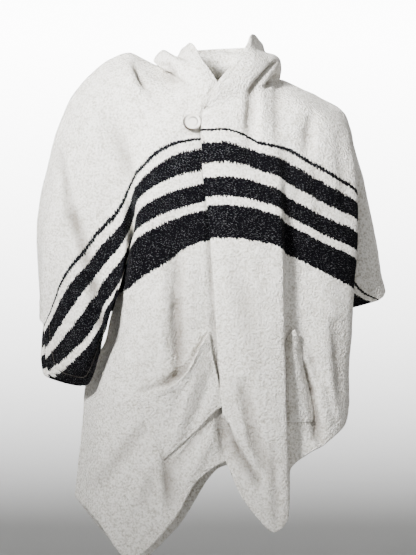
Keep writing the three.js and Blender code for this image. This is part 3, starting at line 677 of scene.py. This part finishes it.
# %% How far each point is from a hem
def run_from_end(points, axis):
    gaps = np.linalg.norm(np.diff(points, axis=axis), axis=2)
    gaps = np.flip(np.nan_to_num(gaps), axis=axis)
    total = np.flip(np.cumsum(gaps, axis=axis), axis=axis)
    zero = np.zeros_like(total.take([0], axis=axis))
    return np.concatenate([total, zero], axis=axis)


def mark_hems(sheet, cuffs):
    body = ~np.isnan(sheet.points[-1, :, 0])
    down = run_from_end(sheet.points, 0)
    sheet.hem[:, body] = down[:, body]
    across = run_from_end(sheet.points, 1)
    for cuff in cuffs:
        from_cuff = across if cuff == "last" else across[:, :1] - across
        high = slice(0, UNDERARM_ROW + 1)
        sheet.hem[high] = np.minimum(sheet.hem[high], from_cuff[high])


mark_hems(right_front, ["last"])
mark_hems(left_front, ["last"])
mark_hems(back, ["first", "last"])
hood.hem = run_from_end(hood.points, 0) + HEM_DEPTH - HOOD_BAND
print(f"hems {HEM_DEPTH:g} mm deep on the fronts, the back and the cuffs")

# %% [markdown]
# ## From a sheet to a wall of cloth
# A sheet has no thickness. Cloth this thick shows its edge, so every piece becomes a closed wall: an
# outer face, an inner face 3 mm behind it and a rounded rim along each free edge. Blender's Solidify
# modifier gives square rims and lets two pieces gape at a seam, so the walls are made here, with flat
# ends where pieces meet.

# %% Close a sheet into a wall
RIM_TURNS = [math.pi / 4, math.pi / 2, 3 * math.pi / 4]


def edges_round(quads, count):
    starts = quads.ravel()
    ends = np.roll(quads, -1, axis=1).ravel()
    lone = ~np.isin(starts * count + ends, ends * count + starts)
    return np.stack([starts[lone], ends[lone]], axis=1)


def cell_quads(sheet):
    filled = sheet.filled()
    number = np.full(filled.shape, -1)
    number[filled] = np.arange(filled.sum())
    r, c = np.nonzero(cell_mask(sheet))
    quads = np.stack([number[r, c], number[r, c + 1], number[r + 1, c + 1], number[r + 1, c]], axis=1)
    return quads[:, ::-1] if sheet.flipped else quads


def close_wall(sheet, outer, inner):
    filled = sheet.filled()
    outer, inner, ways = outer[filled], inner[filled], sheet.outward[filled]
    count = len(outer)
    quads = cell_quads(sheet)
    seam = sheet.seam[filled]
    edges = edges_round(quads, count)
    flat_edge = seam[edges[:, 0]] & seam[edges[:, 1]]
    free = edges[~flat_edge]
    run = outer[free[:, 1]] - outer[free[:, 0]]
    bulge = np.zeros_like(outer)
    for end in (0, 1):
        np.add.at(bulge, free[:, end], np.cross(run, ways[free[:, end]]))
    rim = np.unique(free)
    bulge = bulge[rim] / np.linalg.norm(bulge[rim], axis=1, keepdims=True)
    middle = (outer[rim] + inner[rim]) / 2
    half = (outer[rim] - inner[rim]) / 2
    reach = np.linalg.norm(half, axis=1, keepdims=True)
    turns = [middle + half * math.cos(turn) + bulge * reach * math.sin(turn) for turn in RIM_TURNS]
    points = np.concatenate([outer, inner, *turns])
    rank = np.full(count, -1)
    rank[rim] = np.arange(len(rim))

    def strip(vertex):
        round_rim = [2 * count + step * len(rim) + rank[vertex] for step in range(len(RIM_TURNS))]
        return [vertex, *(round_rim if rank[vertex] >= 0 else []), vertex + count]

    faces = quads.tolist() + (quads[:, ::-1] + count).tolist()
    smooth = [True] * len(faces)
    for (start, end), is_flat in zip(edges.tolist(), flat_edge.tolist()):
        a, b = strip(start), strip(end)
        if is_flat:
            faces.append([*reversed(a), *b][::-1])
            smooth.append(False)
            continue
        for k in range(len(a) - 1):
            faces.append([b[k], a[k], a[k + 1], b[k + 1]])
            smooth.append(True)
    source = np.concatenate([np.arange(count), np.arange(count), *[rim] * len(RIM_TURNS)])
    return points, faces, smooth, source


print(len(RIM_TURNS), "rows of points round each rim")

# %% [markdown]
# ## From a wall to a Blender object
# Each point keeps its place on the flat cloth as a UV map in metres. How far it is from the hem and
# from a sewn edge, and how much painted shade it gets from lying deep in a crease, go into attributes
# for the finish to use. Where pieces meet they share one shading direction, so that no edge shows at
# the seam.


# %% Turn a wall into an object
def build_piece(name, points, faces, smooth, facts):
    mesh = bpy.data.meshes.new(name)
    mesh.from_pydata((points * MM).tolist(), [], [[int(i) for i in face] for face in faces])
    mesh.polygons.foreach_set("use_smooth", smooth)
    corners = np.zeros(len(mesh.loops), np.int32)
    mesh.loops.foreach_get("vertex_index", corners)
    layer = mesh.uv_layers.new(name="Cloth")
    uv = np.stack([facts["along"], facts["down"]], axis=1)[corners] * MM
    layer.data.foreach_set("uv", uv.ravel())
    for fact in ("hem", "sewn", "painted_shade"):
        mesh.attributes.new(fact, "FLOAT", "POINT").data.foreach_set("value", facts[fact])
    mesh.update()
    piece = bpy.data.objects.new(name, mesh)
    bpy.context.collection.objects.link(piece)
    return piece


def share_shading(piece, sheet, filled):
    normals = np.zeros(len(piece.data.vertices) * 3, np.float32)
    piece.data.vertex_normals.foreach_get("vector", normals)
    normals = normals.reshape(-1, 3)
    seam = np.flatnonzero(sheet.seam[filled])
    normals[seam] = sheet.outward[filled][seam]
    normals[seam + filled.sum()] = -sheet.outward[filled][seam]
    piece.data.normals_split_custom_set_from_vertices(normals.tolist())


def cloth_piece(sheet, outer, inner):
    filled = sheet.filled()
    points, faces, smooth, source = close_wall(sheet, outer, inner)
    across, down = np.meshgrid(sheet.along, sheet.down)
    facts = {"along": across, "down": down - sheet.shift, "hem": sheet.hem, "sewn": sheet.sewn,
             "painted_shade": sheet.painted_shade}
    facts = {key: value[filled][source] for key, value in facts.items()}
    piece = build_piece(sheet.name, points, faces, smooth, facts)
    share_shading(piece, sheet, filled)
    return piece


print("objects get a UV map called Cloth and three attributes")

# %% [markdown]
# ## Hanging the four large pieces
# The folds behind go in now, into one front each, and their valleys add painted shade: the painted
# shadows in the pocket mouths and under the lapping edge. Near the opening the left front was pulled
# down as it was buttoned, so there its upper band dips by a few millimetres, which is a shift of the
# place on the flat cloth. The hems swell a little, and then every sheet becomes a wall.

# %% Hang the fronts, the back and the hood
DIP_AT = 145
DIP_HALF = 14
DIP_DROP = 5.6
SWELL_RUN = 4


def smooth_step(value):
    value = np.clip(value, 0, 1)
    return value * value * (3 - 2 * value)


def hang(sheet):
    thick = HOOD_SWELL if sheet is hood else HEM_SWELL
    swell = thick * smooth_step((HEM_DEPTH + SWELL_RUN / 2 - sheet.hem) / SWELL_RUN)
    outer = sheet.points + sheet.outward * swell[..., None]
    inner = sheet.points - sheet.outward * CLOTH_WALL
    return cloth_piece(sheet, outer, inner)


find_outward(sheets)
for sheet in (right_front, left_front):
    sheet.bare = sheet.points.copy()
    behind = fold_rise(sheet.points, BEHIND_FOLDS[sheet.name])
    # painted shade: the folds behind also darken the cloth, as painted shadows in the pocket mouths and
    # under the lapping edge
    sheet.painted_shade = np.maximum(sheet.painted_shade, np.clip(-behind / PAINTED_SHADE_DEPTH, 0, 1))
    sheet.points += sheet.outward * behind[..., None]
dip_down = DIP_DROP * np.exp(-((left_front.down - DIP_AT) / DIP_HALF) ** 2)
near_edge = smooth_step(left_front.names.index("belly") - left_front.place)
left_front.shift = dip_down[:, None] * near_edge
cloths = {sheet.name: hang(sheet) for sheet in sheets}
for name, piece in cloths.items():
    print(name, len(piece.data.vertices), "points", len(piece.data.polygons), "faces")

# %% [markdown]
# ## Patch pockets
# A patch pocket is a square of the same cloth, sewn to the front along its sides and its bottom. It
# follows the front's own points a little way out, and its open top sags forward where a hand has
# stretched it. The right one gapes widely, the left one is turned away into a fold.

# %% Sew on the pockets
POCKET_STAND = 0.7
RIGHT_POCKET = {"from": "near", "to": "outer", "gape_at": 0.34, "gape": 24, "sag": 44, "puff": 2.2,
                "stitched": True}
LEFT_POCKET = {"from": "tuck", "to": "recess", "gape_at": 0.55, "gape": 15, "sag": -20, "puff": 1.0,
               "stitched": False}
OPEN_SPREAD = {"before": 0.3, "after": 0.48}
BAND_STITCH = 19.0
TOP_STITCH = 15.0


def sew_pocket(name, front, pocket):
    first, last = front.column(pocket["from"]), front.column(pocket["to"])
    rows = np.flatnonzero((ROWS >= POCKET_TOP) & (ROWS <= POCKET_BOTTOM))
    area = np.ix_(rows, range(first, last + 1))
    patch = Sheet(name, front.bare[area], front.along[first:last + 1], ROWS[rows], flipped=front.flipped)
    find_outward([patch])
    patch.outward = front.calm[area]
    place = front.place[first:last + 1]
    across = (place - place[0]) / (place[-1] - place[0])
    down = (ROWS[rows] - POCKET_TOP) / (POCKET_BOTTOM - POCKET_TOP)
    spread = np.where(across < pocket["gape_at"], OPEN_SPREAD["before"], OPEN_SPREAD["after"])
    bell = np.exp(-((across - pocket["gape_at"]) / spread) ** 2)
    open_across = bell * np.sqrt(np.maximum(np.sin(math.pi * across), 0))
    opening = (1 - down[:, None]) ** 2 * open_across[None]
    puff = pocket["puff"] * np.sin(math.pi * across)[None] * np.sin(math.pi * down)[:, None]
    stand = POCKET_STAND + pocket["gape"] * opening + puff
    outer = patch.points + patch.outward * (stand + CLOTH_WALL)[..., None]
    inner = patch.points + patch.outward * stand[..., None]
    for wall in (outer, inner):
        wall[..., 2] -= pocket["sag"] * opening
    if pocket["stitched"]:
        right_side = run_from_end(patch.points, 1)
        bottom = run_from_end(patch.points, 0)
        patch.sewn = np.minimum(np.minimum(right_side[:, :1] - right_side, right_side), bottom)
        patch.hem = bottom[:1] - bottom + BAND_STITCH - TOP_STITCH
    return cloth_piece(patch, outer, inner)


right_pocket = sew_pocket("cloth_pocket_right", right_front, RIGHT_POCKET)
left_pocket = sew_pocket("cloth_pocket_left", left_front, LEFT_POCKET)
print("pockets sewn on:", right_pocket.name, left_pocket.name)

# %% [markdown]
# ## Where the button sits
# The button is sewn to the right front at one place of the front view, so a line of sight is sent
# back from there to find the cloth and the way it faces.

# %% Find the button's seat
BUTTON_AT = (-50.0, -68.0)
filled = right_front.filled()
cloth_tree = BVHTree.FromPolygons(right_front.points[filled].tolist(), cell_quads(right_front).tolist())
seat, facing, _, _ = cloth_tree.ray_cast(Vector((BUTTON_AT[0], -1000, BUTTON_AT[1])), Vector((0, 1, 0)))
seat_out = facing if facing.y < 0 else -facing
seat_across = (Vector((1, 0, 0)) - seat_out * seat_out.x).normalized()
seat_up = seat_across.cross(seat_out)
seat_up = seat_up if seat_up.z > 0 else -seat_up
print("seat", [round(value, 1) for value in seat], "facing", [round(value, 2) for value in seat_out])

# %% [markdown]
# ## The button
# A moulded coat button with a thick rim and a dish that lies off centre. It starts as a cylinder,
# whose top face is inset in four steps, each pushed a little aside and down to form the dish. The
# bottom face is inset and drawn down for the shank. Bevelled edges and a Subdivision Surface round
# it as moulding does, and a UV map of its face in metres places the painted shade round its rim and its
# dish.

# %% Model the button
BUTTON_RADIUS = 15.0
BUTTON_THICKNESS = 5.0
BUTTON_LIFT = 3.6
SHANK_RADIUS = 4.0
EDGE_ROUNDING = 1.1
SEAM_GAP = 0.4
TINY = 1e-5
TOP_STEPS = [
    {"inset": 2.6, "across": 0, "up": 0},
    {"inset": 0.9, "across": -1.1, "up": -0.8},
    {"inset": 1.2, "across": -1.1, "up": -0.8},
    {"inset": 5.2, "across": 0, "up": -0.25},
]


def pick(mesh, kind, wanted):
    bpy.ops.mesh.select_mode(type=kind)
    bpy.ops.mesh.select_all(action="DESELECT")
    edit = bmesh.from_edit_mesh(mesh)
    for part in edit.faces if kind == "FACE" else edit.edges:
        if wanted(part):
            part.select_set(True)
    edit.select_flush(True)
    bmesh.update_edit_mesh(mesh)


def on_outer_rim(edge):
    return all(vert.co.xy.length > near_rim and min(abs(vert.co.z - top), abs(vert.co.z - bottom)) < TINY
               for vert in edge.verts)


bpy.ops.object.select_all(action="DESELECT")
top = (BUTTON_LIFT + BUTTON_THICKNESS) * MM
bottom = BUTTON_LIFT * MM
bpy.ops.mesh.primitive_cylinder_add(vertices=64, radius=BUTTON_RADIUS * MM, depth=top - bottom,
                                    location=(0, 0, (top + bottom) / 2))
button = bpy.context.active_object
button.name = "button_disc"
button.data.name = "button_disc"
bpy.ops.object.transform_apply(location=True, rotation=True, scale=True)
bpy.ops.object.mode_set(mode="EDIT")
pick(button.data, "FACE", lambda face: face.normal.z > 0.9)
for step in TOP_STEPS:
    bpy.ops.mesh.inset(thickness=step["inset"] * MM)
    bpy.ops.transform.translate(value=(step["across"] * MM, 0, step["up"] * MM))
pick(button.data, "FACE", lambda face: face.normal.z < -0.9)
bpy.ops.mesh.inset(thickness=(BUTTON_RADIUS - SHANK_RADIUS) * MM)
bpy.ops.mesh.extrude_region_move(TRANSFORM_OT_translate={"value": (0, 0, SEAM_GAP * MM - bottom)})
near_rim = (BUTTON_RADIUS - 0.1) * MM
pick(button.data, "EDGE", on_outer_rim)
bpy.ops.mesh.bevel(offset=EDGE_ROUNDING * MM, segments=3, affect="EDGES")
bpy.ops.object.mode_set(mode="OBJECT")
round_off = button.modifiers.new("Round", "SUBSURF")
round_off.levels = 1
round_off.render_levels = 1
bpy.ops.object.modifier_apply(modifier=round_off.name)
bpy.ops.object.shade_smooth()
while button.data.uv_layers:
    button.data.uv_layers.remove(button.data.uv_layers[0])
face_map = button.data.uv_layers.new(name="Face")
for corner, place in zip(button.data.loops, face_map.data):
    place.uv = button.data.vertices[corner.vertex_index].co.xy
turn = Matrix((seat_across, seat_up, seat_out)).transposed().to_4x4()
button.data.transform(Matrix.Translation(seat * MM) @ turn)
button.data.update()
print("button", len(button.data.vertices), "points")

# %% [markdown]
# ## The loop
# A thin cord of the same wool runs from behind the other front's edge, round the shank under the
# disc and back. It is a curve with a round section, turned into a mesh.

# %% Lay the loop round the shank
LOOP_RADIUS = 1.1
LOOP_REACH = 19.5
LOOP_BENDS = 16


def loop_path():
    middle = seat + seat_out * (LOOP_RADIUS + SEAM_GAP)
    half = SHANK_RADIUS + LOOP_RADIUS + SEAM_GAP
    places = [(LOOP_REACH, half), (LOOP_REACH / 2, half)]
    for bend in range(LOOP_BENDS + 1):
        angle = math.pi * (0.5 + bend / LOOP_BENDS)
        places.append((half * math.cos(angle), half * math.sin(angle)))
    places += [(LOOP_REACH / 2, -half), (LOOP_REACH, -half)]
    return [middle + seat_across * right + seat_up * above for right, above in places]


line = bpy.data.curves.new("button_loop_cord", "CURVE")
line.dimensions = "3D"
line.bevel_depth = LOOP_RADIUS * MM
line.bevel_resolution = 4
line.use_fill_caps = True
spline = line.splines.new("POLY")
cord_points = loop_path()
spline.points.add(len(cord_points) - 1)
for point, place in zip(spline.points, cord_points):
    point.co = (*(place * MM), 1)
cord = bpy.data.objects.new("loop_cord", line)
bpy.context.collection.objects.link(cord)
bpy.ops.object.select_all(action="DESELECT")
cord.select_set(True)
bpy.context.view_layer.objects.active = cord
bpy.ops.object.convert(target="MESH")
cord = bpy.context.active_object
bpy.ops.object.shade_smooth()
print("loop", len(cord.data.vertices), "points")

# %% [markdown]
# ## Wiring a finish
# A finish is a small program of nodes. Two helpers keep it readable: one makes a node from its kind,
# its settings and what goes into it, and the other lets plain arithmetic on its outputs add Math
# nodes.


# %% Arithmetic on sockets
OBJECT_PLACE = 3
NUMBER_OF_ATTRIBUTE = 2


class Wire:
    def __init__(self, finish, socket):
        self.finish = finish
        self.socket = socket

    def math(self, operation, *others):
        values = dict(enumerate((self, *others)))
        return self.finish.add("ShaderNodeMath", {"operation": operation}, values)

    def __add__(self, other):
        return self.math("ADD", other)

    def __sub__(self, other):
        return self.math("SUBTRACT", other)

    def __rsub__(self, other):
        return self.finish.add("ShaderNodeMath", {"operation": "SUBTRACT"}, {0: other, 1: self})

    def __mul__(self, other):
        return self.math("MULTIPLY", other)

    def __truediv__(self, other):
        return self.math("DIVIDE", other)

    __radd__ = __add__
    __rmul__ = __mul__

    def clamped(self):
        return self.finish.add("ShaderNodeMath", {"operation": "ADD", "use_clamp": True}, {0: self, 1: 0.0})


class Finish:
    def __init__(self, name):
        self.material = bpy.data.materials.new(name)
        self.material.use_nodes = True
        self.tree = self.material.node_tree
        self.tree.nodes.clear()

    def add(self, kind, settings=None, inputs=None, output=0):
        node = self.tree.nodes.new(kind)
        for key, value in (settings or {}).items():
            setattr(node, key, value)
        for key, value in (inputs or {}).items():
            if isinstance(value, Wire):
                self.tree.links.new(value.socket, node.inputs[key])
            else:
                node.inputs[key].default_value = value
        return Wire(self, node.outputs[output]) if node.outputs else None

    def solid_place(self):
        return self.add("ShaderNodeTexCoord", {}, {}, OBJECT_PLACE)

    def flat_place(self, uv_map):
        flat = self.add("ShaderNodeUVMap", {"uv_map": uv_map})
        split = [self.add("ShaderNodeSeparateXYZ", {}, {0: flat}, output) * (1 / MM) for output in (0, 1)]
        return flat, *split

    def noise(self, place, size, detail=2.0):
        return self.add("ShaderNodeTexNoise", {}, {"Vector": place, "Scale": 1 / size, "Detail": detail})

    def mix(self, share, first, second):
        return self.add("ShaderNodeMix", {"data_type": "RGBA"}, {0: share, 6: first, 7: second}, 2)

    def close(self, colour, height, lift, plain):
        bumped = self.add("ShaderNodeBump", {}, {"Height": height, "Distance": lift, "Strength": 1.0})
        inputs = {"Base Color": colour, "Normal": bumped, **plain}
        shader = self.add("ShaderNodeBsdfPrincipled", {}, inputs)
        self.add("ShaderNodeOutputMaterial", {}, {"Surface": shader})
        return self.material


print("helpers ready: Wire for arithmetic, Finish for nodes")

# %% [markdown]
# ## Brushed wool with woven stripes
# The stripes are woven in, so they follow the cloth: three broad black bands and one thin stripe at
# set places down the cloth. Brushing drags the yarn ends over each border, which gives it small
# uneven teeth, and leaves pale flecks in the black. The cream ground is mottled and has a short nap,
# and deep in a crease it is painted darker and browner, as painted shade. Stitches show as faint dashes.

# %% The wool's finish
CREAM_LIGHT = (0.945, 0.92, 0.865, 1)
CREAM_DARK = (0.54, 0.505, 0.435, 1)
# painted shade colour for deep crease valleys
PAINTED_SHADE_WOOL = (0.16, 0.135, 0.11, 1)
BLACK = (0.002, 0.002, 0.003, 1)
FLECK = (0.10, 0.10, 0.105, 1)
THREAD = (0.30, 0.27, 0.23, 1)
BANDS = [(140, 171), (192, 224), (238, 290)]
THIN_STRIPE = 122.0
THIN_HALF = 3.3
BORDER_SHARPNESS = 0.9
TOOTH_PERIOD = 2.9
SEWN_STITCH = 4.5
wool = Finish("brushed_wool")
flat, along, down = wool.flat_place("Cloth")
solid = wool.solid_place()
wander = wool.noise(flat, 0.011, 3.0)
jitter = wool.noise(flat, 0.0032, 2.0)
teeth = (along + wander * 9).math("PINGPONG", TOOTH_PERIOD) / TOOTH_PERIOD
ragged = (teeth - 0.5) * 2.0 + (jitter - 0.5) * 10 + (wander - 0.5) * 6


def border(inside):
    return (inside * BORDER_SHARPNESS + 0.5).clamped()


def attribute(name):
    return wool.add("ShaderNodeAttribute", {"attribute_name": name}, {}, NUMBER_OF_ATTRIBUTE)


def stitch_line(distance, place, half):
    return (1 - (distance - place).math("ABSOLUTE") / half).clamped()


black = border(THIN_HALF + ragged * 0.75 - (down - THIN_STRIPE).math("ABSOLUTE"))
for top, low in BANDS:
    black = black.math("MAXIMUM", border(down - top + ragged) * border(low - down + ragged))
slant = wool.add("ShaderNodeMapping", {}, {"Vector": flat, "Rotation": (0, 0, math.radians(38)),
                                           "Scale": (300, 900, 1)})
dashes = wool.add("ShaderNodeTexNoise", {}, {"Vector": slant, "Scale": 1.0, "Detail": 1.0})
mottle = wool.noise(solid, 0.012, 3.0)
nap = wool.noise(solid, 0.0034, 3.0)
flecks = ((dashes + (mottle - 0.5) * 0.2 - 0.605) * 14).clamped()
ground = wool.mix(((mottle - 0.5) * 1.2 + (nap - 0.5) * 3.4 + 0.68).clamped(), CREAM_DARK, CREAM_LIGHT)
# painted shade: the cream is painted darker and browner deep in crease valleys and folds behind
ground = wool.mix(attribute("painted_shade") * 0.85, ground, PAINTED_SHADE_WOOL)
dark_yarn = wool.mix(flecks, BLACK, FLECK)
hem_line = stitch_line(attribute("hem"), BAND_STITCH, 1.3)
sewn_line = stitch_line(attribute("sewn"), SEWN_STITCH, 1.1)
dash = (((along + down).math("PINGPONG", 2.2) - 0.5) * 2.5).clamped()
thread = hem_line.math("MAXIMUM", sewn_line)
colour = wool.mix(black, ground, dark_yarn)
colour = wool.mix(thread * dash * 0.3, colour, THREAD)
height = mottle * 0.8 + nap * 2.0 + flecks * black * 0.3 - thread * (0.15 + dash * 0.15)
brushed_wool = wool.close(colour, height, 0.0022, {"Roughness": 0.95, "Sheen Weight": 0.01,
                                                   "Sheen Roughness": 0.5, "Specular IOR Level": 0.05})
for piece in [*cloths.values(), right_pocket, left_pocket]:
    piece.data.materials.append(brushed_wool)
print("wool has", len(wool.tree.nodes), "nodes")

# %% [markdown]
# ## The cord and the button
# The cord is spun from the same wool and shows its twist. The button is cast resin with a faint
# marbling and a satin polish. Thin brown painted shade lies in its rim towards the lower left, as a
# painted shadow, and round the edge of its dish towards the upper right.

# %% The finishes of the cord and the button
yarn = Finish("wool_cord")
twist = yarn.add("ShaderNodeTexWave", {"bands_direction": "DIAGONAL"},
                 {"Vector": yarn.solid_place(), "Scale": 260.0, "Distortion": 1.0})
yarn_colour = yarn.mix(twist, CREAM_DARK, CREAM_LIGHT)
cord.data.materials.append(yarn.close(yarn_colour, twist, 0.0004, {"Roughness": 0.9}))

RESIN_DARK = (0.76, 0.72, 0.64, 1)
RESIN_LIGHT = (0.87, 0.84, 0.78, 1)
# painted shade colour for the button's rim and dish
RESIN_PAINTED_SHADE = (0.035, 0.024, 0.014, 1)
RIM_PAINTED_SHADOW_FROM = 11.8
DISH_SHADE_AT = (1.6, 0.6)
DISH_SHADE_RADIUS = 7.6
resin = Finish("cast_resin")
resin_place = resin.solid_place()
cloud = resin.noise(resin_place, 0.009, 4.0)
fine = resin.noise(resin_place, 0.0008, 2.0)
resin_colour = resin.mix(((cloud - 0.5) * 2 + 0.5).clamped(), RESIN_DARK, RESIN_LIGHT)
_, face_x, face_y = resin.flat_place("Face")


def distance_from(x, y):
    return ((face_x - x) * (face_x - x) + (face_y - y) * (face_y - y)).math("SQRT")


# painted shadow: the rim is painted brown, most towards the lower left
rim_painted_shadow = ((distance_from(0, 0) - RIM_PAINTED_SHADOW_FROM) / 1.4).clamped()
rim_shadow_side = (0.45 - (face_x + face_y) / 22).clamped()
# painted shade: a brown ring round the dish's edge, most towards the upper right
dish_painted_shade = (1.4 - (distance_from(*DISH_SHADE_AT) - DISH_SHADE_RADIUS).math("ABSOLUTE") / 1.5).clamped()
dish_shade_side = (0.35 + (face_x + face_y) / 16).clamped()
button_painted_shade = (rim_painted_shadow * rim_shadow_side).math("MAXIMUM", dish_painted_shade * dish_shade_side * 0.8)
resin_colour = resin.mix(button_painted_shade, resin_colour, RESIN_PAINTED_SHADE)
button.data.materials.clear()
button.data.materials.append(resin.close(resin_colour, fine, 0.00004, {"Roughness": 0.38}))
print("cord and button finished")

# %% [markdown]
# ## Joining the pieces to the imported solids
# Each piece rides on the one body and stands for its solid, which is hidden. The table lists how
# large each cloth was cut.

# %% Ride and replace
FLAT_CUTS = {
    "front_right": ((0.56, 0.82), 0.267), "front_left": ((0.46, 0.76), 0.21),
    "back": ((0.92, 0.83), 0.438), "hood": ((0.44, 0.36), 0.107),
    "pocket_right": ((0.115, 0.13), 0.014), "pocket_left": ((0.045, 0.13), 0.0045),
}


def join(piece, node):
    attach(piece, "root")
    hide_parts(node)


for node, (flat_size, flat_area) in FLAT_CUTS.items():
    piece = bpy.data.objects[f"cloth_{node}"]
    join(piece, node)
join(cord, "button_loop")
join(button, "button")
print("pieces joined:", ", ".join([*FLAT_CUTS, "button_loop", "button"]))

# %% [markdown]
# ## Floor, wall and light
# A plain studio: a pale floor, and far behind the garment a wall that glows whiter towards the top.
# One soft spotlight from the upper left falls mostly on the chest, and two weak area lights fill in.

# %% Build the studio
FLOOR_AT = -1.45
WALL_AT = 15.5
GLOW_FROM = -1.2
GLOW_RUN = 1.7
PAINT = (0.46, 0.46, 0.455, 1)


def plain_sheet(name, size, place, turn):
    bpy.ops.object.select_all(action="DESELECT")
    bpy.ops.mesh.primitive_plane_add(size=size, location=place, rotation=turn)
    made = bpy.context.active_object
    made.name = name
    bpy.ops.object.transform_apply(location=True, rotation=True, scale=True)
    return made


paint = Finish("glowing_studio_paint")
paint_place = paint.solid_place()
paint_height = paint.add("ShaderNodeSeparateXYZ", {}, {0: paint_place}, 2)
# painted light: the wall glows brighter towards the top, standing in for light falling on it
glow = ((paint_height - GLOW_FROM) / GLOW_RUN).clamped().math("POWER", 1.35)
grain = paint.noise(paint_place, 0.01)
glow_colour = paint.mix(glow, (0, 0, 0, 1), (1, 1, 1, 1))
glowing_studio_paint = paint.close(PAINT, grain, 0.0001, {"Roughness": 0.9, "Emission Color": glow_colour,
                                                  "Emission Strength": 12.0})
floor = plain_sheet("studio_floor", 40, (0, 0, FLOOR_AT), (0, 0, 0))
wall = plain_sheet("studio_wall", 12, (0, WALL_AT, 2.0), (math.radians(90), 0, 0))
for made in (floor, wall):
    made.data.materials.append(glowing_studio_paint)


def light(name, kind, place, aim, power, settings):
    lamp = bpy.data.lights.new(name, kind)
    lamp.energy = power
    for key, value in settings.items():
        setattr(lamp, key, value)
    made = bpy.data.objects.new(name, lamp)
    made.location = place
    made.rotation_euler = (Vector(aim) - Vector(place)).to_track_quat("-Z", "Y").to_euler()
    bpy.context.collection.objects.link(made)


light("key_light", "SPOT", (-1.9, -2.6, 1.3), (0.0, 0, -0.01), 3800,
      {"spot_size": math.radians(20), "spot_blend": 1.0, "shadow_soft_size": 0.5})
light("fill_light", "AREA", (2.6, -3.0, 0.4), (0, 0, -0.3), 26, {"size": 2.4})
light("low_light", "AREA", (-0.4, -3.6, -1.1), (0, 0, -0.5), 4, {"size": 2.0})
world = bpy.data.worlds.new("studio_world")
world.use_nodes = True
world.node_tree.nodes["Background"].inputs["Color"].default_value = (1, 1, 1, 1)
world.node_tree.nodes["Background"].inputs["Strength"].default_value = 0.4
bpy.context.scene.world = world
print("studio ready")

# %% [markdown]
# ## The camera
# The photograph was taken from the front at the height of the waist and shows next to no
# perspective, so the camera stands 14 m away, level, with a very narrow view.

# %% Set the camera
camera_data = bpy.data.cameras.new("front_camera")
camera_data.sensor_fit = "VERTICAL"
camera_data.sensor_height = 24
camera_data.lens = 365.3
camera_data.clip_end = 60
camera = bpy.data.objects.new("front_camera", camera_data)
camera.location = (-0.023, -14.0, -0.322)
camera.rotation_euler = (math.radians(90), 0, 0)
bpy.context.collection.objects.link(camera)
bpy.context.scene.camera = camera
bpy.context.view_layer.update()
